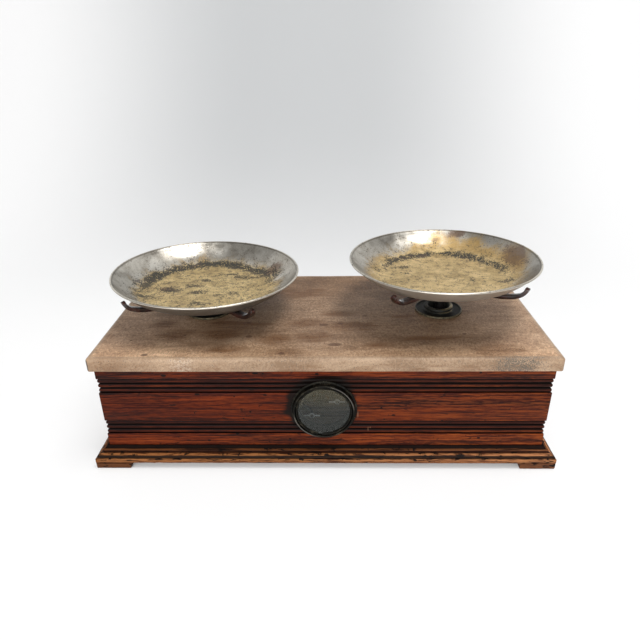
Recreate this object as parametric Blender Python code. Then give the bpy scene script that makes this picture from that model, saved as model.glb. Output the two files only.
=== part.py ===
# Counter balance: a marble top on a wooden case, two loose pans, and inside the case a compound lever
# mechanism that keeps both pans level. Metres, +Z up, origin on the ground below the middle of the case.
# The balance is at rest with its left pan down, as it stands when nothing is weighed.
import math

import bmesh
import bpy
from mathutils import Matrix, Vector
from mathutils.geometry import interpolate_bezier

mm = 0.001
gap = 0.3 * mm  # clearance between neighbouring pieces

# Facets round a circle, and along a pan's wall
pan_segments = 48
window_segments = 40
round_segments = 28
pan_wall_steps = 9

# Wooden case
case_length = 538 * mm
case_depth = 248 * mm
board_thickness = 16 * mm
board_height = 126 * mm
bottom_thickness = 10 * mm
bottom_recess = 4 * mm  # from the boards' lower edge up to the bottom board
foot_size = 43.5 * mm
foot_height = 8 * mm
foot_edge = 1.5 * mm

# Reeding: a group of half-round reeds above and below the plain middle band
top_band = 13.5 * mm
reed_count = 3
reed_pitch = 6.35 * mm
reed_depth = 3.2 * mm
reed_set_back = 0.7 * mm
lower_band = 34 * mm  # from the boards' lower edge, half of it behind the base moulding

# Base moulding
moulding_projection = 15 * mm
moulding_fillet = 6.6 * mm
moulding_quirk = 1.4 * mm
moulding_ogee_width = 6 * mm
moulding_ogee_height = 3.6 * mm
moulding_step = 1 * mm
moulding_bead = 1.1 * mm
moulding_cove = 3.9 * mm

# Marble top and its collars
top_overhang = 6 * mm
top_thickness = 17.4 * mm
top_edge = 4.2 * mm
top_corner = 2.5 * mm
top_under_edge = 0.8 * mm
collar_radius = 31 * mm
collar_room = 3.5 * mm  # round the stem's shoulder
collar_wall = 2 * mm
collar_ring_reach = 4.1 * mm  # from the bore to the middle of the ring
collar_ring_size = 2.6 * mm
collar_ring_lift = 3.6 * mm
collar_plate = 1.5 * mm
collar_edge_bead = 1 * mm
collar_shift = {-1: 0.0, 1: -2 * mm}  # each collar's own place beside its stem
collar_set_back = 2 * mm

# Window
window_height = 79 * mm
window_hole = 34 * mm
window_lip = 37.3 * mm
window_flange = 40 * mm
window_projection = 8 * mm
window_sight = 31 * mm
window_sleeve = 10 * mm
window_wall = 1.7 * mm
window_lip_radius = 1.4 * mm
window_flange_edge = 1.3 * mm
window_step = (1 * mm, 2.4 * mm)  # out from the lip, and forward
window_neck = 3.6 * mm
glass_thickness = 2 * mm
glass_set_back = 3.1 * mm
glass_arris = 0.4 * mm
retainer_thickness = 1.8 * mm
retainer_split = math.radians(9)

# Pans
pan_radius = 120.5 * mm
pan_depth = 27.5 * mm
pan_sheet = {-1: 1.25 * mm, 1: 1.2 * mm}  # the left pan is the heavier one, and the empty balance rests on it
pan_floor = 72 * mm
pan_lip = 2.4 * mm
pan_stand = 67.7 * mm  # from the marble up to the rim with the balance level
pan_lean = math.radians(1)  # each pan and its support lean in towards the middle

# Pan supports
stem_inset = 113.5 * mm  # from the case's end in to the stem
stem_radius = 7 * mm
stem_shoulder = 2 * mm
stem_shoulder_heights = (3 * mm, 4.5 * mm)  # its flat part and its taper
stem_flare = 2.5 * mm
stem_flare_depths = (12 * mm, 6 * mm)  # below the hub
spigot_radius = 5.5 * mm
hub_radius = 17 * mm
hub_height = 9 * mm
hub_edge = 1 * mm
arm_width = 10.5 * mm
arm_thickness = 4 * mm
arm_clearance = 0.5 * mm
arm_drop = 5 * mm  # how much further the arm stands off at its root than at its tip
arm_flare = 3.5 * mm
support_turn = {-1: math.radians(-4), 1: math.radians(4.5)}
stem_pin_radius = 2 * mm
stem_pin_end = 0.5 * mm

# Lever mechanism. The knife lines of the main beam and of the two inner levers are level when in balance.
rest_drop = 8.3 * mm  # how far a pan stands below or above its level place
beam_end_room = 33 * mm  # from the end knife to the case wall
fulcrum_inset = 20 * mm  # from the end knife in to the inner lever's fulcrum
carrier_knife_x = 52 * mm
lever_height = 55 * mm
bar_thickness = 10 * mm
knife_width = 8 * mm
knife_depth = 10 * mm
knife_angle = math.radians(40)  # half of the wedge
seat_angle = math.radians(55)  # half of the seat's notch
seat_depth = 4 * mm
knife_room = 2 * mm  # free room behind a knife
lane_inner = 9 * mm  # the links run between the bars and the carriers
lane_link = 14 * mm
lane_carrier = 20 * mm
lane_outer = 26 * mm
link_knife_extra = 1 * mm  # the links' knives past the links' cheeks
beam_end = 8 * mm  # beam past its end knife
beam_top = (4 * mm, 14 * mm)  # above the knife line, at the ends and in the middle
beam_bottom = (14 * mm, 16 * mm)
link_half = 10 * mm
link_end = 8 * mm
link_window = 6 * mm
link_bar = (26 * mm, 19 * mm)  # depths of its lower and upper side below the main beam's knife line
lever_tail = 12 * mm  # lever past its fulcrum, and either side of its link knife
lever_cover = 3 * mm  # lever below and above its knives
lever_tip = (5 * mm, 6 * mm)  # above and below the knife line at its inner end
lever_tip_length = 6 * mm  # past the pointer's rod
carrier_half = 10 * mm
tie_band = (7 * mm, 1 * mm)  # below the top of the carrier's cheeks
cheek_inset = 1 * mm
boss_radius = 15 * mm
boss_room = 1 * mm  # over the main beam when its end is up
boss_height = 12 * mm
boss_top_room = 2.1 * mm  # under the marble when its end is up
boss_bridge = 6 * mm
bridge_seat = 1.8 * mm  # how far the bridge is let into the cheeks
index_set_back = 6 * mm  # from the case front's inner face
index_x = 15.5 * mm
index_rise = 8.6 * mm
index_length = 20 * mm
index_bar = 2 * mm
index_eye = 3.4 * mm
index_plate_thickness = 1 * mm
index_rod_radius = 2 * mm
index_rod_x = 30 * mm
index_screw_radius = 1.1 * mm
index_screw_length = 4.5 * mm
index_screw_head = (0.8 * mm, 1.3 * mm)  # its straight side and its crown
index_bore_depth = 5 * mm

# Cast-iron bed
bed_thickness = 5.7 * mm
bed_half_width = 30 * mm
bed_end_room = 6 * mm  # plate past the outer stands
stand_foot = 5 * mm
stand_foot_spread = 2 * mm
stand_fillet = 3 * mm
window_room = 4 * mm  # from a fulcrum's window up to the passage's roof
post_half = 12 * mm
post_inner = 14 * mm
stand_half = 12 * mm
stand_inner = 16 * mm
bearing_half = 9 * mm
fulcrum_bearing_half = 6.7 * mm
fulcrum_bearing_height = 6 * mm
bed_screw_radius = 2.5 * mm
bed_screw_head = 5 * mm
bed_screw_length = 12 * mm
bed_screw_slot = 1 * mm
bed_screw_x = 95 * mm


def beam_edge(x, ends_and_middle):
    """Distance of the beam's edge from its knife line."""
    at_end, at_middle = ends_and_middle
    return at_end + (at_middle - at_end) * (1 - (x / (beam_arm + beam_end)) ** 2)


def beam_over(x, ends_and_middle):
    """Height of the beam's edge over its raised end knife's edge, at rest."""
    return beam_edge(x, ends_and_middle) + (beam_arm - x) * math.sin(rest_tilt)


# What follows from these sizes
half_length = case_length / 2
half_depth = case_depth / 2
board_low = foot_height + gap
board_high = board_low + board_height
bottom_top = board_low + bottom_recess + bottom_thickness
bed_low = bottom_top + gap
bed_top = bed_low + bed_thickness
slab_low = board_high + gap
slab_high = slab_low + top_thickness
beam_arm = half_length - board_thickness - beam_end_room
fulcrum_x = beam_arm - fulcrum_inset
lever_arm = fulcrum_x - carrier_knife_x
link_x = fulcrum_x * beam_arm / (lever_arm + beam_arm)
lever_ratio = beam_arm / lever_arm
pan_rim_height = slab_high + pan_stand
rest_tilt = math.asin(rest_drop / beam_arm)
lever_tilt = lever_ratio * rest_tilt
pan_x = half_length - stem_inset
lever_drift = lever_arm * (1 - math.cos(lever_tilt)) + beam_arm * (1 - math.cos(rest_tilt))
bridge_bottom = beam_over(pan_x - boss_radius, beam_top) + boss_room  # over the carrier's end knife
boss_top = bridge_bottom + boss_height
beam_height = slab_low - boss_top_room - boss_top - rest_drop
line_spacing = beam_height - lever_height
collar_bore = stem_radius + stem_shoulder + collar_room
collar_ring_radius = collar_bore + collar_ring_reach
index_y = -(half_depth - board_thickness - index_set_back)
sides = {"left": -1, "right": 1}

finishes = {
    "marble": ((0.52, 0.38, 0.29), 0.35, 0.0),
    "walnut": ((0.16, 0.045, 0.018), 0.45, 0.0),
    "worn_walnut": ((0.3, 0.13, 0.045), 0.5, 0.0),
    "plain_wood": ((0.35, 0.2, 0.1), 0.7, 0.0),
    "nickelled_brass": ((0.6, 0.54, 0.4), 0.3, 1.0),
    "dark_brass": ((0.16, 0.13, 0.08), 0.35, 1.0),
    "oxblood_paint": ((0.09, 0.012, 0.01), 0.25, 0.0),
    "black_iron": ((0.03, 0.03, 0.032), 0.6, 0.8),
    "knife_steel": ((0.45, 0.45, 0.45), 0.3, 1.0),
    "pale_steel": ((0.6, 0.62, 0.6), 0.4, 1.0),
    "glass": ((0.35, 0.4, 0.36), 0.08, 0.0),
}


# ---------------------------------------------------------------- tools
def clear_scene():
    for item in list(bpy.data.objects):
        bpy.data.objects.remove(item, do_unlink=True)


def finish_material(name):
    if name in bpy.data.materials:
        return bpy.data.materials[name]
    colour, roughness, metallic = finishes[name]
    material = bpy.data.materials.new(name)
    material.use_nodes = True
    shader = material.node_tree.nodes["Principled BSDF"]
    shader.inputs["Base Color"].default_value = (*colour, 1.0)
    shader.inputs["Roughness"].default_value = roughness
    shader.inputs["Metallic"].default_value = metallic
    material.diffuse_color = (*colour, 1.0)
    return material


def loose_object(name, shape):
    mesh = bpy.data.meshes.new(name)
    shape.to_mesh(mesh)
    shape.free()
    item = bpy.data.objects.new(name, mesh)
    bpy.context.scene.collection.objects.link(item)
    return item


def combine(item, shape, operation):
    tool = loose_object(item.name + "_tool", shape)
    modifier = item.modifiers.new(operation.title(), "BOOLEAN")
    modifier.operation = operation
    modifier.solver = "EXACT"
    modifier.object = tool
    graph = bpy.context.evaluated_depsgraph_get()
    result = bpy.data.meshes.new_from_object(item.evaluated_get(graph))
    item.modifiers.clear()
    item.data = result
    bpy.data.objects.remove(tool, do_unlink=True)


def piece(name, shape, finish, joined=(), removed=(), parent=None, location=(0, 0, 0), turn=0.0, lean=0.0):
    """One named solid: a shape, with others joined to it and cut out of it."""
    item = loose_object(name, shape)
    for other in joined:
        combine(item, other, "UNION")
    for other in removed:
        combine(item, other, "DIFFERENCE")
    item.data.name = name
    item.data.materials.clear()
    item.data.materials.append(finish_material(finish))
    item.data.shade_smooth()
    item.data.set_sharp_from_angle(angle=math.radians(35))
    item.parent = parent
    item.location = location
    item.rotation_euler = (0, lean, turn)
    return item


def pivot(name, location, tilt=0.0):
    empty = bpy.data.objects.new(name, None)
    bpy.context.scene.collection.objects.link(empty)
    empty.location = location
    empty.rotation_euler = (0, tilt, 0)
    return empty


def prism(outline, low, high, axis):
    """An outline in the plane across an axis (x: y and z, y: x and z, z: x and y), extruded along it."""
    place = {
        "x": lambda u, v, w: (w, u, v),
        "y": lambda u, v, w: (u, w, v),
        "z": lambda u, v, w: (u, v, w),
    }[axis]
    shape = bmesh.new()
    face = shape.faces.new([shape.verts.new(place(u, v, low)) for u, v in outline])
    grown = bmesh.ops.extrude_face_region(shape, geom=[face])["geom"]
    moved = [part for part in grown if isinstance(part, bmesh.types.BMVert)]
    bmesh.ops.translate(shape, vec=Vector(place(0, 0, high - low)), verts=moved)
    bmesh.ops.recalc_face_normals(shape, faces=shape.faces)
    return shape


def block(low, high):
    outline = [(low[0], low[1]), (high[0], low[1]), (high[0], high[1]), (low[0], high[1])]
    return prism(outline, low[2], high[2], "z")


def face_front(shape):
    """Turns a shape that stands on +Z so that it points to -Y, the front."""
    bmesh.ops.rotate(shape, cent=(0, 0, 0), matrix=Matrix.Rotation(math.pi / 2, 3, "X"), verts=shape.verts)


def turned(profile, segments, angle=2 * math.pi, axis="z", centre=(0, 0, 0)):
    """A profile of (radius, height) points turned about an axis; one with no point on it makes a ring."""
    shape = bmesh.new()
    points = [shape.verts.new((radius, 0, height)) for radius, height in profile]
    closed = min(radius for radius, height in profile) > 0
    ends = list(zip(points, points[1:] + points[:1])) if closed else list(zip(points, points[1:]))
    edges = [shape.edges.new(pair) for pair in ends]
    full = angle > 2 * math.pi - 1e-6
    if not full:
        section = shape.faces.new(points)
        bmesh.ops.spin(shape, geom=[section], axis=(0, 0, 1), cent=(0, 0, 0), angle=angle, steps=segments)
    else:
        outline = points + edges
        bmesh.ops.spin(
            shape, geom=outline, axis=(0, 0, 1), cent=(0, 0, 0), angle=angle, steps=segments, use_merge=True
        )
    bmesh.ops.remove_doubles(shape, verts=shape.verts, dist=1e-6)
    bmesh.ops.recalc_face_normals(shape, faces=shape.faces)
    if axis == "y":
        face_front(shape)
    bmesh.ops.translate(shape, vec=Vector(centre), verts=shape.verts)
    return shape


def rod(radius, low, high, axis, centre, segments=16):
    """A round bar along an axis, given by its two end positions on it and its centre across it."""
    outline = [
        (
            centre[0] + radius * math.cos(2 * math.pi * step / segments),
            centre[1] + radius * math.sin(2 * math.pi * step / segments),
        )
        for step in range(segments)
    ]
    return prism(outline, low, high, axis)


def arc(centre, radii, start, stop, steps):
    """Points on an ellipse's arc, from one angle in degrees to another."""
    angles = [math.radians(start + (stop - start) * step / steps) for step in range(steps + 1)]
    return [(centre[0] + radii[0] * math.cos(a), centre[1] + radii[1] * math.sin(a)) for a in angles]


def turn_shape(shape, angle):
    bmesh.ops.rotate(shape, cent=(0, 0, 0), matrix=Matrix.Rotation(angle, 3, "Z"), verts=shape.verts)
    return shape


def mitred(profile, reach, half_run, turn):
    """A length of moulding with mitred ends. Its profile is (inset, height) points, inset from the outermost
    plane, which stands at reach from the middle; it runs half_run each way and is then turned to its side."""
    slack = gap / math.sqrt(2)
    shape = bmesh.new()
    loops = []
    for end in (-1, 1):
        corners = [(end * (half_run - inset - slack), inset - reach, height) for inset, height in profile]
        face = shape.faces.new([shape.verts.new(corner) for corner in corners])
        loops += face.edges[:]
    bmesh.ops.bridge_loops(shape, edges=loops)
    bmesh.ops.recalc_face_normals(shape, faces=shape.faces)
    return turn_shape(shape, turn)


# ---------------------------------------------------------------- case
def reed_group(low):
    """Outer (inset, height) points of one group of reeds, upwards."""
    points = [(0.0, low)]
    for count in range(reed_count):
        middle = low + (count + 0.5) * reed_pitch
        radii = (reed_set_back - reed_depth, reed_pitch / 2)
        points += arc((reed_depth, middle), radii, -90, 90, 6)[(1 if count else 0):]
    return points + [(0.0, low + reed_count * reed_pitch)]


def board_profile():
    upper = board_high - top_band - reed_count * reed_pitch
    outer = [(0.0, board_low)] + reed_group(board_low + lower_band) + reed_group(upper) + [(0.0, board_high)]
    return outer + [(board_thickness, board_high), (board_thickness, board_low)]


def build_boards():
    profile = board_profile()
    outside, inside = -half_depth - gap, -half_depth + board_thickness + gap
    opening = rod(window_hole, outside, inside, "y", (0, window_height), window_segments)
    front = mitred(profile, half_depth, half_length, 0)
    piece("case_front", front, "walnut", removed=[opening])
    piece("case_back", mitred(profile, half_depth, half_length, math.pi), "walnut")
    piece("case_right", mitred(profile, half_length, half_depth, math.pi / 2), "walnut")
    piece("case_left", mitred(profile, half_length, half_depth, -math.pi / 2), "walnut")


def moulding_profile():
    """From the bottom up: fillet, quirk, ogee, bead and cove, inset from the moulding's outermost plane."""
    inner = moulding_projection - gap
    height = board_low + moulding_fillet
    points = [(inner, board_low), (0.0, board_low), (0.0, height), (moulding_quirk, height)]
    ogee_low = height + moulding_quirk * 0.5
    points.append((moulding_quirk, ogee_low))
    ogee_centre = (moulding_quirk + moulding_ogee_width, ogee_low)
    points += arc(ogee_centre, (-moulding_ogee_width, moulding_ogee_height), 0, 90, 6)[1:]
    inset = moulding_quirk + moulding_ogee_width + moulding_step
    bead_low = ogee_low + moulding_ogee_height
    points.append((inset, bead_low))
    bead_middle = (inset + moulding_bead * 0.5, bead_low + moulding_quirk + moulding_bead)
    points += arc(bead_middle, (-moulding_bead, moulding_bead), -60, 120, 5)
    cove_centre = (inset + moulding_bead, bead_middle[1] + moulding_bead + moulding_cove)
    cove = arc(cove_centre, (moulding_cove, -moulding_cove), 90, 10, 5)
    points += cove
    return points + [(inner, cove[-1][1])]


def build_mouldings():
    profile = moulding_profile()
    front = half_depth + moulding_projection
    side = half_length + moulding_projection
    piece("base_moulding_front", mitred(profile, front, side, 0), "worn_walnut")
    piece("base_moulding_back", mitred(profile, front, side, math.pi), "worn_walnut")
    piece("base_moulding_right", mitred(profile, side, front, math.pi / 2), "worn_walnut")
    piece("base_moulding_left", mitred(profile, side, front, -math.pi / 2), "worn_walnut")


def bed_screw_holes(low, high):
    radius = bed_screw_radius + gap
    return [rod(radius, low - gap, high + gap, "z", (end * bed_screw_x, 0)) for end in (-1, 1)]


def build_bottom():
    reach_x = half_length - board_thickness - gap
    reach_y = half_depth - board_thickness - gap
    low = board_low + bottom_recess
    board = block((-reach_x, -reach_y, low), (reach_x, reach_y, bottom_top))
    piece("bottom_board", board, "plain_wood", removed=bed_screw_holes(low, bottom_top))


def build_feet():
    reach_x = half_length + moulding_projection
    reach_y = half_depth + moulding_projection
    for side_name, x in sides.items():
        for end_name, y in {"front": -1, "back": 1}.items():
            shape = block((-foot_size / 2, -foot_size / 2, 0), (foot_size / 2, foot_size / 2, foot_height))
            rounded = [edge for edge in shape.edges if max(vert.co.z for vert in edge.verts) < gap]
            bmesh.ops.bevel(shape, geom=rounded, offset=foot_edge, segments=2, affect="EDGES", profile=0.5)
            place = (x * (reach_x - foot_size / 2), y * (reach_y - foot_size / 2), 0)
            piece(f"foot_{end_name}_{side_name}", shape, "worn_walnut", location=place)


# ---------------------------------------------------------------- marble top and collars
def collar_place(side):
    return (side * pan_x + collar_shift[side], collar_set_back)


def build_marble_top():
    half_x = half_length + top_overhang
    half_y = half_depth + top_overhang
    slab = block((-half_x, -half_y, slab_low), (half_x, half_y, slab_high))
    upright = [edge for edge in slab.edges if abs(edge.verts[0].co.z - edge.verts[1].co.z) > gap]
    bmesh.ops.bevel(slab, geom=upright, offset=top_corner, segments=3, affect="EDGES", profile=0.5)
    for height, size, steps in ((slab_high, top_edge, 4), (slab_low, top_under_edge, 1)):
        rim = [edge for edge in slab.edges if all(abs(vert.co.z - height) < gap / 3 for vert in edge.verts)]
        bmesh.ops.bevel(slab, geom=rim, offset=size, segments=steps, affect="EDGES", profile=0.5)
    hole = collar_bore + collar_wall + gap
    holes = [rod(hole, slab_low - gap, slab_high + gap, "z", collar_place(side), round_segments)
             for side in sides.values()]
    piece("marble_top", slab, "marble", removed=holes)


def collar_profile():
    """Bore, raised ring, flat plate and beaded edge, then back under the plate and down the sleeve."""
    sleeve = collar_bore + collar_wall
    ring_height = gap + collar_plate + collar_ring_lift
    ring = arc((collar_ring_radius, ring_height), (collar_ring_size, collar_ring_size), 180, -60, 7)
    bead = collar_edge_bead
    edge = arc((collar_radius - bead, gap + collar_plate), (bead, bead), 180, 0, 3)
    dish = gap + collar_plate * 0.7
    points = [(collar_bore, gap - top_thickness), (collar_bore, ring_height - collar_ring_size)]
    points += ring
    points += [(collar_ring_radius + collar_ring_size * 0.8, dish + collar_edge_bead * 0.6)]
    points += [(collar_ring_radius + collar_ring_size * 1.3, dish), (collar_radius - 3 * bead, dish)]
    return points + edge + [(collar_radius, gap), (sleeve, gap), (sleeve, gap - top_thickness)]


def build_collars():
    for name, side in sides.items():
        place = (*collar_place(side), slab_high)
        piece(f"{name}_collar", turned(collar_profile(), round_segments), "dark_brass", location=place)


# ---------------------------------------------------------------- window
def bezel_profile():
    """(radius, distance in front of the case) from the sleeve round the flange and lip to the glass seat."""
    sleeve = window_hole - gap
    seat = window_projection - glass_set_back - glass_thickness - gap
    inner = sleeve + gap
    lip = window_lip_radius
    points = [(sleeve, -window_sleeve), (sleeve, gap), (window_flange, gap)]
    points += [(window_flange, gap + window_flange_edge), (window_lip + window_step[0], gap + window_step[1])]
    points += [(window_lip, gap + window_neck)]
    points += arc((window_lip - lip, window_projection - lip), (lip, lip), 0, 180, 4)
    points += [(inner, window_projection - 2 * lip), (inner, seat)]
    return points + [(sleeve - window_wall, seat), (sleeve - window_wall, -window_sleeve)]


def build_window():
    centre = (0, -half_depth, window_height)
    piece("window_bezel", turned(bezel_profile(), window_segments, axis="y", centre=centre), "dark_brass")
    back = window_projection - glass_set_back - glass_thickness
    radius = window_hole - gap
    rim = glass_arris
    disc = [(0, back), (radius - rim, back), (radius, back + rim), (radius, back + glass_thickness - rim),
            (radius - rim, back + glass_thickness), (0, back + glass_thickness)]
    piece("window_glass", turned(disc, window_segments, axis="y", centre=centre), "glass")
    low = back + glass_thickness + gap
    section = [(window_sight, low), (radius, low), (radius, low + retainer_thickness),
               (window_sight + retainer_thickness / 2, low + retainer_thickness)]
    ring = turned(section, window_segments, angle=2 * math.pi - retainer_split)
    turn_shape(ring, retainer_split / 2 - math.pi / 2)
    face_front(ring)
    bmesh.ops.translate(ring, vec=Vector(centre), verts=ring.verts)
    piece("window_retainer", ring, "dark_brass")


# ---------------------------------------------------------------- bed and stands
def build_bed():
    reach = fulcrum_x + stand_half + bed_end_room
    plate = block((-reach, -bed_half_width, bed_low), (reach, bed_half_width, bed_top))
    piece("bed_plate", plate, "black_iron", removed=bed_screw_holes(bed_low, bed_top))
    head = bed_screw_head
    shank = bed_screw_radius
    profile = [(0, gap - bed_screw_length), (shank * 0.4, gap - bed_screw_length)]
    profile += [(shank, shank * 2 - bed_screw_length), (shank, gap), (head, gap)]
    profile += arc((0, gap + head * 0.15), (head, head * 0.4), 0, 80, 4) + [(0, gap + head * 0.55)]
    for name, side in sides.items():
        slot = block((-head, -bed_screw_slot / 2, head * 0.4), (head, bed_screw_slot / 2, head))
        place = (side * bed_screw_x, 0, bed_top)
        piece(f"{name}_bed_screw", turned(profile, 16), "pale_steel", removed=[slot], location=place)


def build_centre_stand():
    low = bed_top + gap
    post_top = beam_height - knife_depth - knife_room
    foot = low + stand_foot
    outer_foot = lane_outer + stand_foot_spread
    half = [(outer_foot, low), (outer_foot, foot), (lane_outer, foot + stand_fillet), (lane_outer, post_top),
            (post_inner, post_top), (post_inner, foot + stand_fillet), (post_inner - stand_fillet, foot)]
    outline = half + [(-y, z) for y, z in reversed(half)]
    piece("centre_stand", prism(outline, -post_half, post_half, "x"), "black_iron")
    notch = beam_height - gap
    rise = seat_depth
    spread = seat_depth * math.tan(seat_angle)
    seat = [(-bearing_half, post_top + gap), (bearing_half, post_top + gap), (bearing_half, notch + rise),
            (spread, notch + rise), (0, notch), (-spread, notch + rise), (-bearing_half, notch + rise)]
    for name, low_y in {"front": -lane_outer, "back": post_inner}.items():
        shape = prism(seat, low_y, low_y + lane_outer - post_inner, "y")
        piece(f"{name}_centre_bearing", shape, "knife_steel")


def build_fulcrum_stands():
    outer = fulcrum_x + stand_half
    beam_under = beam_edge(outer, beam_bottom) * math.cos(rest_tilt) + outer * math.sin(rest_tilt)
    stop_top = beam_height - beam_under - gap
    low = bed_top + gap
    window_top = lever_height + fulcrum_bearing_height + gap
    for name, side in sides.items():
        x = side * fulcrum_x
        body = block((x - stand_half, -lane_outer, low), (x + stand_half, lane_outer, stop_top))
        passage = block((x - 2 * stand_half, -stand_inner, low + stand_foot),
                        (x + 2 * stand_half, stand_inner, window_top + window_room))
        half = fulcrum_bearing_half + gap
        window = block((x - half, -2 * lane_outer, lever_height - knife_depth - knife_room),
                       (x + half, 2 * lane_outer, window_top))
        piece(f"{name}_fulcrum_stand", body, "black_iron", removed=[passage, window])
        spread = seat_depth * math.tan(seat_angle)
        notch = lever_height + gap
        half = fulcrum_bearing_half
        outline = [(x - half, notch - seat_depth), (x - spread, notch - seat_depth), (x, notch),
                   (x + spread, notch - seat_depth), (x + half, notch - seat_depth),
                   (x + half, window_top - gap), (x - half, window_top - gap)]
        piece(f"{name}_fulcrum_bearing", prism(outline, -lane_outer, lane_outer, "y"), "knife_steel")


# ---------------------------------------------------------------- main beam, knives and levers
def knife_outline(x, z, up, clearance=0.0):
    """Section of a knife, its edge at (x, z), with the wedge pointing up (1) or down (-1)."""
    half = knife_width / 2 + clearance
    tip = clearance / math.sin(knife_angle)
    shoulder = tip - half / math.tan(knife_angle)
    back = -knife_depth - clearance
    return [(x, z + up * tip), (x + half, z + up * shoulder), (x + half, z + up * back),
            (x - half, z + up * back), (x - half, z + up * shoulder)]


def knife_slot(x, z, up):
    return prism(knife_outline(x, z, up, gap), -bar_thickness, bar_thickness, "y")


def knife(name, parent, x, z, up, half_width):
    shape = prism(knife_outline(0, 0, up), -half_width, half_width, "y")
    piece(name, shape, "knife_steel", parent=parent, location=(x, 0, z))


def build_main_beam():
    beam = pivot("main_beam_pivot", (0, 0, beam_height), -rest_tilt)
    steps = 10
    end = beam_arm + beam_end
    stations = [end * (2 * step / steps - 1) for step in range(steps + 1)]
    outline = [(x, beam_edge(x, beam_top)) for x in stations]
    outline += [(x, -beam_edge(x, beam_bottom)) for x in reversed(stations)]
    slots = [knife_slot(0, 0, -1)]
    slots += [knife_slot(side * x, 0, 1) for side in (-1, 1) for x in (beam_arm, link_x)]
    shape = prism(outline, -bar_thickness / 2, bar_thickness / 2, "y")
    piece("main_beam", shape, "black_iron", removed=slots, parent=beam)
    knife("centre_knife", beam, 0, 0, -1, lane_outer)
    for name, side in sides.items():
        knife(f"{name}_end_knife", beam, side * beam_arm, 0, 1, lane_outer)
        knife(f"{name}_beam_link_knife", beam, side * link_x, 0, 1, lane_link + link_knife_extra)


def lever_outline(side):
    """The lever's side view about its fulcrum's edge, running inward from it."""
    link = fulcrum_x - link_x
    end = fulcrum_x - index_rod_x + lever_tip_length
    under = knife_depth + lever_cover
    clear = seat_depth + knife_room / 4
    above, below = lever_tip
    points = [(-lever_tail, -clear), (stand_half, -clear), (link - lever_tail, under)]
    points += [(link + lever_tail, under), (lever_arm, above), (end, above), (end, -below)]
    points += [(lever_arm + lever_tail, -under), (-lever_tail, -under)]
    return [(-side * inward, z) for inward, z in points]


def build_levers():
    for name, side in sides.items():
        lever = pivot(f"{name}_lever_pivot", (side * fulcrum_x, 0, lever_height), lever_tilt)
        link, carrier, index = [-side * (fulcrum_x - x) for x in (link_x, carrier_knife_x, index_rod_x)]
        slots = [knife_slot(0, 0, 1), knife_slot(link, 0, -1), knife_slot(carrier, 0, 1)]
        slots.append(rod(index_rod_radius + gap, -bar_thickness, bar_thickness, "y", (index, 0), 12))
        shape = prism(lever_outline(side), -bar_thickness / 2, bar_thickness / 2, "y")
        piece(f"{name}_lever", shape, "black_iron", removed=slots, parent=lever)
        knife(f"{name}_fulcrum_knife", lever, 0, 0, 1, lane_outer)
        knife(f"{name}_lever_link_knife", lever, link, 0, -1, lane_link + link_knife_extra)
        knife(f"{name}_carrier_knife", lever, carrier, 0, 1, lane_outer)
        build_index(name, side, lever, index)


def swept_rod(name, route, radius):
    """A round rod along a row of points."""
    curve = bpy.data.curves.new(name, "CURVE")
    curve.dimensions = "3D"
    curve.bevel_depth = radius
    curve.bevel_resolution = 2
    curve.use_fill_caps = True
    spline = curve.splines.new("POLY")
    spline.points.add(len(route) - 1)
    for point, place in zip(spline.points, route):
        point.co = (*place, 1)
    holder = bpy.data.objects.new(name, curve)
    bpy.context.scene.collection.objects.link(holder)
    graph = bpy.context.evaluated_depsgraph_get()
    shape = bmesh.new()
    shape.from_mesh(holder.evaluated_get(graph).to_mesh())
    bpy.data.objects.remove(holder, do_unlink=True)
    bmesh.ops.remove_doubles(shape, verts=shape.verts, dist=1e-6)
    bmesh.ops.recalc_face_normals(shape, faces=shape.faces)
    return shape


def build_index(name, side, lever, root_x):
    """A rod from the lever's inner end to the window, and on it a small pointer plate and its screw."""
    tip_x = -side * (fulcrum_x - index_x)
    rod_end = index_y + index_plate_thickness + gap
    bend = Vector((root_x, index_y * 0.55, 0))
    tip = Vector((tip_x, rod_end, index_rise))
    reach = Vector((0, index_y * 0.22, 0))
    route = [Vector((root_x, bar_thickness, 0)), Vector((root_x, 0, 0))]
    route += interpolate_bezier(bend, bend + reach, tip - reach, tip, 9)
    place = (tip_x, index_rise)
    hole = rod(index_screw_radius + gap, rod_end - gap, rod_end + index_bore_depth, "y", place, 10)
    arm = swept_rod(f"{name}_index_route", route, index_rod_radius)
    piece(f"{name}_index_arm", arm, "black_iron", removed=[hole], parent=lever)

    front, back = index_y, index_y + index_plate_thickness
    half, thick = index_length / 2, index_bar / 2
    bar = block((tip_x - half, front, index_rise - thick), (tip_x + half, back, index_rise + thick))
    eye = rod(index_eye, front, back, "y", place, 20)
    bore = rod(index_screw_radius + gap, front - gap, back + gap, "y", place, 10)
    piece(f"{name}_index_plate", eye, "pale_steel", joined=[bar], removed=[bore], parent=lever)
    head = index_screw_radius * 2
    side_height, crown = index_screw_head
    profile = [(0, -index_screw_length), (index_screw_radius, -index_screw_length), (index_screw_radius, gap)]
    profile += [(head, gap), (head, gap + side_height), (head * 0.7, gap + crown), (0, gap + crown)]
    screw = turned(profile, 16, axis="y")
    piece(f"{name}_index_screw", screw, "pale_steel", parent=lever, location=(tip_x, front, index_rise))


# ---------------------------------------------------------------- links, carriers, supports and pans
def rest_place(side, arm):
    """Where a knife edge of the main beam stands at rest."""
    return (side * arm * math.cos(rest_tilt), 0, beam_height + side * arm * math.sin(rest_tilt))


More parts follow.
